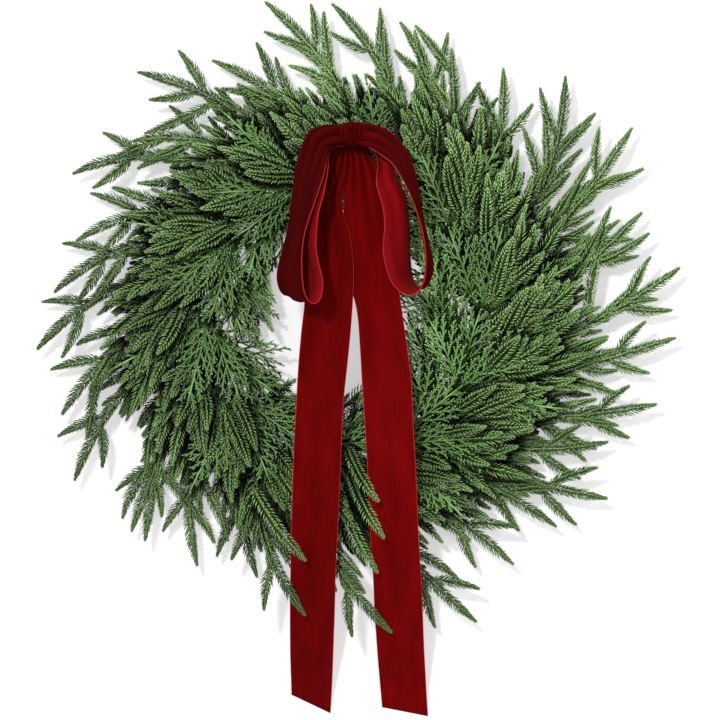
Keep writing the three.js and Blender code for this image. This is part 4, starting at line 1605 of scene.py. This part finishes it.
TAIL_LEFT = (
    (-12, 172, 3, 172, 106), (-16, 158, 4, 158, 99), (-26, 140, 3, 140, 96), (-40, 113, -3, 110, 95),
    (-43, 76, 6, 75, 94), (-41, 40, 9, 40, 88), (-40, 13, 8, 14, 81), (-43, -14, 6, -14, 78),
    (-46, -49, 3, -46, 83), (-48, -84, -1, -84, 92), (-50, -120, -3, -120, 96),
    (-51.5, -159, -4.5, -159, 96), (-53, -215, -7, -215, 89), (-54, -255, -9, -255, 73),
    (-54.5, -290, -10, -292, 55), (-54.5, -327, -11.5, -332, 36), (-54, -357, -13, -370, 12),
    (-53.5, -378.5, -14.5, -397, 1.3),
)
TAIL_RIGHT = (
    (2, 172, 16, 172, 101), (4, 158, 26, 158, 93), (1, 140, 36, 140, 90.5), (-1, 112, 42, 112, 90),
    (-1, 76, 47, 76, 89), (4, 38, 52, 38, 82), (12, 3, 57, 3, 76), (15, -33, 62, -33, 76),
    (17, -67, 66, -67, 85), (20, -113, 68, -114, 95), (22, -147, 70, -147, 96),
    (25, -214, 73, -216, 89), (28, -258, 76, -264, 72), (29.5, -293, 77.5, -300, 55),
    (32, -330, 79, -338, 34), (34.5, -362, 81, -370, 12), (37, -391, 83, -400, 1.3),
)
LOOP_LEFT = (
    (4, 166, -2, 188, 113), (-9, 164, -22, 187, 118), (-17, 158, -36, 178, 120),
    (-22, 137, -46, 151, 121), (-31, 110, -51, 118, 121), (-40, 82, -55, 89, 121),
    (-43, 58, -61, 66, 120), (-42, 34, -67, 42, 119), (-39, 19, -65, 26, 118),
    (-32, 11, -58, 19, 118), (-24, 15, -49, 23, 118), (-21, 32, -45, 40, 119),
    (-26, 54, -48, 62, 120), (-28, 71, -50, 79, 121), (-26, 98, -48, 106, 121),
    (-20, 121, -40, 132, 121), (-16, 146, -30, 158, 112), (-15, 161, -26, 171, 103),
    (-4, 172, -8, 182, 100),
)
LOOP_RIGHT = (
    (9, 170, 8, 188, 113), (15, 167, 23, 188, 117), (24, 164, 38, 185, 120), (34, 158, 50, 177, 121),
    (46, 149, 61, 164, 121), (54, 137, 69, 144, 121), (63, 119, 74, 120, 121), (71, 97, 78, 94, 121),
    (76, 76, 83, 70, 120), (78, 54, 87, 48, 119), (76, 34, 83, 33, 118), (70, 24, 77, 27, 118),
    (61, 22, 72, 30, 118), (50, 30, 68, 38, 118), (43, 44, 66, 52, 119), (39, 64, 65, 72, 120),
    (40, 90, 64, 98, 121), (37, 110, 60, 120, 121), (31, 130, 50, 140, 121), (32, 149, 46, 158, 108),
    (27, 163, 36, 172, 101), (12, 172, 15, 182, 99),
)


@dataclass
class VelvetBow:
    """The bow: a pleated knot, two loops that stand on edge and two long tails.

    Lengths are in mm. A fade is the distance over which a thing falls to a third, and a pinned end is
    one over which the swell grows from nothing. Light is painted light and shade, a share of the
    velvet's own colour.
    """

    width: float = 48.0
    thick: float = 0.55
    edge_thick: float = 0.8
    edge_width: float = 0.5
    gather_share: float = 0.45
    gather_rows: float = 3.0
    columns: int = 25
    step: float = 3.2
    pleat_deep: float = 2.8
    pleat_fade: float = 48.0
    pleat_start: float = 8.0
    pleats_across: tuple[float, float] = (3.3, 0.25)
    pleat_turn: float = 70.0
    # Painted light: how much lighter the pleats' crests and darker their troughs are made.
    pleat_painted_light: float = 0.7
    pleat_back: float = 0.3
    # Painted shade: how much darker the strips are made near the knot.
    knot_shade: float = 0.15
    knot_shade_fade: float = 70.0
    swells: tuple[tuple[float, float, float], ...] = ((1.3, 0.85, 95.0), (0.8, 1.7, -60.0))
    pinned_first: float = 30.0
    pinned_last: float = 60.0
    curl: float = 118.0
    curl_fade: float = 26.0
    curl_rise: float = 0.8
    curl_level: float = 0.4
    knot_middle: tuple[float, float, float] = (8.5, 178.5, 114.0)
    knot_half: tuple[float, float, float] = (16.0, 12.5, 20.0)
    knot_grid: tuple[int, int] = (44, 252)
    knot_cloth: tuple[float, float, float] = (40.0, 30.0, 60.0)
    knot_pleats: int = 23
    knot_painted_light: float = 0.75
    strips: tuple[Strip, ...] = (
        # The number after each strip's stations is its painted light and shade.
        Strip("bow_tail_left", Held.TAIL, 591, TAIL_LEFT, 0.84),
        Strip("bow_tail_right", Held.TAIL, 599, TAIL_RIGHT, 1.03),
        Strip("bow_loop_left", Held.LOOP, 374, LOOP_LEFT, 0.4, True),
        Strip("bow_loop_right", Held.LOOP, 375, LOOP_RIGHT, 0.55),
    )

    def edges(self, strip: Strip) -> tuple[Array, Array]:
        """The two edge lines of a strip, at its stations.

        A tail's edges stand at one height. A loop stands on edge: where its edges are d apart in plan,
        each is sqrt(w^2 - d^2) / 2 above or below the middle height, with w the ribbon's width there.

        Args:
            strip: The strip.

        Returns:
            The near edge's points and the far edge's.
        """
        table = np.array(strip.stations, float)
        near, far, height = table[:, 0:2], table[:, 2:4], table[:, 4]
        if strip.held is Held.TAIL:
            return np.column_stack([near, height]), np.column_stack([far, height])
        last = len(table) - 1
        from_knot = np.minimum(np.arange(len(table)), last - np.arange(len(table)))
        share = np.minimum(1.0, from_knot / self.gather_rows)
        width = self.width * (self.gather_share + (1 - self.gather_share) * share)
        apart = np.linalg.norm(near - far, axis=1)
        rise = np.sqrt(np.maximum(0.0, width**2 - apart**2)) / 2
        return np.column_stack([near, height + rise]), np.column_stack([far, height - rise])

    def surface(self, strip: Strip, seed: int) -> tuple[Array, Array, Array]:
        """A strip's middle surface on a grid: P(s, u) = (1 - u) A(s) + u B(s) + N w(s, u).

        w is the waves: pleats that fade away from the knot, and a slow swell across the ribbon, which
        is pinned where the strip leaves the knot and, on a tail, at the cut end. The first part of a
        loop is curled: there P moves towards an arc from A to B.

        Args:
            strip: The strip.
            seed: Sets where its waves stand.

        Returns:
            The grid of points, each point's place on the flat cloth, and the painted light and shade of
            its
            pile: lighter on the crests of the pleats, darker in their troughs and near the knot.
        """
        near, far = self.edges(strip)[:: 1 if strip.pile_first else -1]
        both = spline_rows(np.hstack([near, far]), 12)
        both = evenly(both, (both[:, :3] + both[:, 3:]) / 2, self.step)
        a, b = both[:, None, :3], both[:, None, 3:]
        margin = self.edge_width / self.width
        u = np.concatenate([[0.0], np.linspace(margin, 1 - margin, self.columns), [1.0]])
        plain = a * (1 - u)[None, :, None] + b * u[None, :, None]
        normal = unit(np.cross(np.gradient(plain, axis=1), np.gradient(plain, axis=0)))
        middle = plain[:, len(u) // 2]
        gone = np.concatenate([[0.0], np.cumsum(np.linalg.norm(np.diff(middle, axis=0), axis=1))])
        s, across, total = gone[:, None], u[None], gone[-1]
        looped = strip.held is Held.LOOP
        knot = np.minimum(s, total - s if looped else s)
        phase = np.random.default_rng(seed).uniform(0, 2 * np.pi, 4)
        fade = np.exp(-knot / self.pleat_fade) * np.minimum(1.0, knot / self.pleat_start)
        pinned = np.minimum(1.0, s / self.pinned_first)
        if looped:
            fade = fade * np.where(s > total / 2, self.pleat_back, 1.0)
            curl = np.exp(-((s / self.curl_fade) ** 2))[:, :, None]
            angle = ((2 * u - 1) * math.radians(self.curl))[None, :, None]
            half = (b - a) / 2
            rise = np.linalg.norm(half, axis=2, keepdims=True) * self.curl_rise
            arc = (a + b) / 2 + half * np.sin(angle) + UP * (rise * (np.cos(angle) - self.curl_level))
            plain = plain * (1 - curl) + arc * curl
        else:
            pinned = pinned * np.minimum(1.0, (total - s) / self.pinned_last)
        pleats, more = self.pleats_across
        turns = pleats * across + more * across**2
        wave = np.sin(2 * np.pi * turns + phase[0] + s / self.pleat_turn)
        swell = sum(
            high * np.sin(2 * np.pi * rate * across + start + s / slow)
            for (high, rate, slow), start in zip(self.swells, phase[1:])
        )
        # Painted light and shade: the strip's own share, lighter on the pleats' crests, darker in their
        # troughs and near the knot.
        near_knot = 1 - self.knot_shade * np.exp(-knot / self.knot_shade_fade)
        light = strip.painted_light * (1 + self.pleat_painted_light * fade * wave) * near_knot
        grid = plain + normal * (fade * self.pleat_deep * wave + swell * pinned)[:, :, None]
        flat = np.stack(np.broadcast_arrays(across * self.width, s), axis=-1)
        return grid, flat, np.broadcast_to(light, grid.shape[:2])

    def knot(self) -> tuple[Array, Ints, Array, Array]:
        """The knot: a flattened ball whose skin is drawn into pleats that run from top to bottom.

        P = middle + (hx f sin t, hy sin v, hz f cos t), where t runs round it and v from pole to pole,
        and f = cos(v)^0.7 (0.82 + 0.28 sin v)(1.02 - d (1 - p) cos(v)^0.3). p is a wave of sharp ridges
        that wander a little, and d = 0.17 + 0.06 sin(3 t + 1) is how deep the folds between them are.

        Returns:
            Points, triangles, the painted light and shade of the pile at each point, lighter on the
            ridges and darker in the folds, and its place on the flat cloth.
        """
        rows, around = self.knot_grid
        v = np.linspace(-np.pi / 2, np.pi / 2, rows + 2)[1:-1][:, None]
        t = (np.arange(around) * 2 * np.pi / around)[None]
        wander = t + 0.10 * np.sin(2.0 * v + 3 * t) + 0.05 * np.sin(5 * t + 1.3)
        ridge = 1 - np.abs(np.sin(wander * self.knot_pleats / 2)) ** 0.8
        deep = 0.17 + 0.06 * np.sin(3 * t + 1.0)
        folded = 1.02 - deep * (1 - ridge) * np.cos(v) ** 0.3
        spread = np.cos(v) ** 0.7 * (0.82 + 0.28 * np.sin(v)) * folded
        hx, hy, hz = self.knot_half
        middle = np.array(self.knot_middle)
        level = hy * np.sin(v) * np.ones_like(t)
        grid = middle + np.stack([hx * spread * np.sin(t), level, hz * spread * np.cos(t)], -1)
        poles = middle + np.array([[0.0, -hy, 0.0], [0.0, hy, 0.0]])
        points = np.concatenate([grid.reshape(-1, 3), poles])
        wide, long, start = self.knot_cloth
        flat = np.stack(np.broadcast_arrays(t * wide, v * long + start), -1).reshape(-1, 2)
        # Painted light and shade: lighter on the ridges, darker in the folds between them.
        light = self.knot_painted_light * (0.35 + ridge.ravel())
        light = np.concatenate([light, [self.knot_painted_light] * 2])
        return points, ring_faces(rows, around), light, np.concatenate([flat, flat[:1], flat[-1:]])

    def build(self, velvet: Material, satin: Material, edge: Material) -> None:
        """Makes the bow's pieces.

        Args:
            velvet: The pile side's material.
            satin: The smooth back's material.
            edge: The woven edge's material.
        """
        finishes = (velvet, satin, edge)
        for n, strip in enumerate(self.strips):
            grid, flat, light = self.surface(strip, 40 + n)
            thick = np.full(self.columns + 2, self.thick)
            thick[:2] = thick[-2:] = self.edge_thick
            skin = Skin()
            cloth_shell(skin, grid, flat, thick, 1, light)
            piece = skin.piece(strip.node + "_velvet", finishes)
            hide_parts(strip.node)
            LOG.info("%s is %.0f mm long", strip.node, flat[-1, 0, 1])
        points, faces, light, flat = self.knot()
        skin = Skin()
        skin.add(points, faces, Cloth.VELVET, 0.5, light, flat)
        piece = skin.piece("bow_knot_velvet", finishes)
        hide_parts("bow_knot")


# ---------------------------------------------------------------- wires, light and camera


@dataclass
class Wires:
    """The ring of wire, its binding and the bow's wire, which keep their own solids."""

    finishes: tuple[tuple[str, WireFinish], ...] = (
        ("wire_frame", WireFinish("green_painted_steel_wire", "#26331f", "#55594e")),
        ("binding_wire", WireFinish("florist_paddle_wire", "#2d3b25", "#6a6c5c", 2.0)),
        ("bow_wire", WireFinish("florist_stub_wire", "#3b3f33", "#7b7c70", 2.0)),
    )

    def build(self) -> None:
        """Gives each wire its paint."""
        for node, finish in self.finishes:
            material = finish.material()
            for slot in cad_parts[node].material_slots:
                slot.material = material
            LOG.info("%s painted", node)


@dataclass
class Studio:
    """A white table, one broad lamp up and to the left, an even sky, and a camera straight above."""

    camera_height: float = 8.0
    lens: float = 400.0
    middle: tuple[float, float] = (0.0018, 0.0004)
    floor_half: float = 9.0
    key_place: tuple[float, float, float] = (-1.05, 1.35, 4.3)
    key_size: float = 0.32
    key_power: float = 175.0
    sky: float = 1.05

    def build(self) -> None:
        """Sets up the floor, the light and the camera."""
        h = self.floor_half
        mesh = bpy.data.meshes.new("floor")
        mesh.from_pydata([(-h, -h, 0), (h, -h, 0), (h, h, 0), (-h, h, 0)], [], [(0, 1, 2, 3)])
        mesh.materials.append(FloorFinish().material())
        floor = bpy.data.objects.new("floor", mesh)
        bpy.context.scene.collection.objects.link(floor)
        floor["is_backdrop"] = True
        self._lamp("key", self.key_place, self.key_size, self.key_power)
        world = bpy.data.worlds.new("studio")
        world.use_nodes = True
        back = world.node_tree.nodes["Background"]
        back.inputs["Color"].default_value = (1.0, 1.0, 1.0, 1.0)
        back.inputs["Strength"].default_value = self.sky
        scene = bpy.context.scene
        scene.world = world
        scene.view_settings.view_transform = "Standard"
        view = bpy.data.cameras.new("camera")
        view.lens, view.clip_end = self.lens, 60.0
        camera = bpy.data.objects.new("camera", view)
        camera.location = (*self.middle, self.camera_height)
        scene.collection.objects.link(camera)
        scene.camera = camera

    def _lamp(self, name: str, place: tuple[float, float, float], size: float, power: float) -> None:
        """Hangs a square lamp that faces the wreath."""
        light = bpy.data.lights.new(name, "AREA")
        light.size, light.energy = size, power
        lamp = bpy.data.objects.new(name, light)
        x, y, z = place
        lamp.location = place
        lamp.rotation_euler = (math.atan2(math.hypot(x, y), z), 0.0, math.atan2(y, x) + math.pi / 2)
        bpy.context.scene.collection.objects.link(lamp)


LOW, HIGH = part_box("wire_frame")
RING_MIDDLE = np.array([(LOW.x + HIGH.x) / 2, (LOW.y + HIGH.y) / 2, 0.0])

# The foot colours are partly painted shade, the tip colours partly a painted highlight.
PINE = LeafFinish("waxy_pine_needle", "#173305", "#5b8333", "#a9c98c", "#41692a", 0.34, 0.45)
CEDAR = LeafFinish("waxy_cedar_scale", "#16300a", "#4c742e", "#8fba72", "#3f622a", 0.40, 0.45)


def main() -> None:
    """Builds the wreath's looks and the studio."""
    logging.basicConfig(level=logging.INFO, format="%(name)s: %(message)s")
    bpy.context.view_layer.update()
    Studio().build()
    Wires().build()
    bark = BarkFinish().material()
    greens = {"pine": PINE.material(), "cedar": CEDAR.material()}
    growths = [*PineTiers().grow(), *CedarFans().grow()]
    # Painted shade: the deeper a point lies under the foliage above it, the darker it is made.
    Canopy().shade(growths)
    for growth in growths:
        growth.piece((greens[growth.kind], bark))
    VelvetBow().build(VelvetFinish().material(), SatinFinish().material(), EdgeFinish().material())
    total = sum(len(o.data.polygons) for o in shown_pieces() if o.type == "MESH")
    LOG.info("%d faces in all", total)
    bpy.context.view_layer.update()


if __name__ == "__main__":
    main()
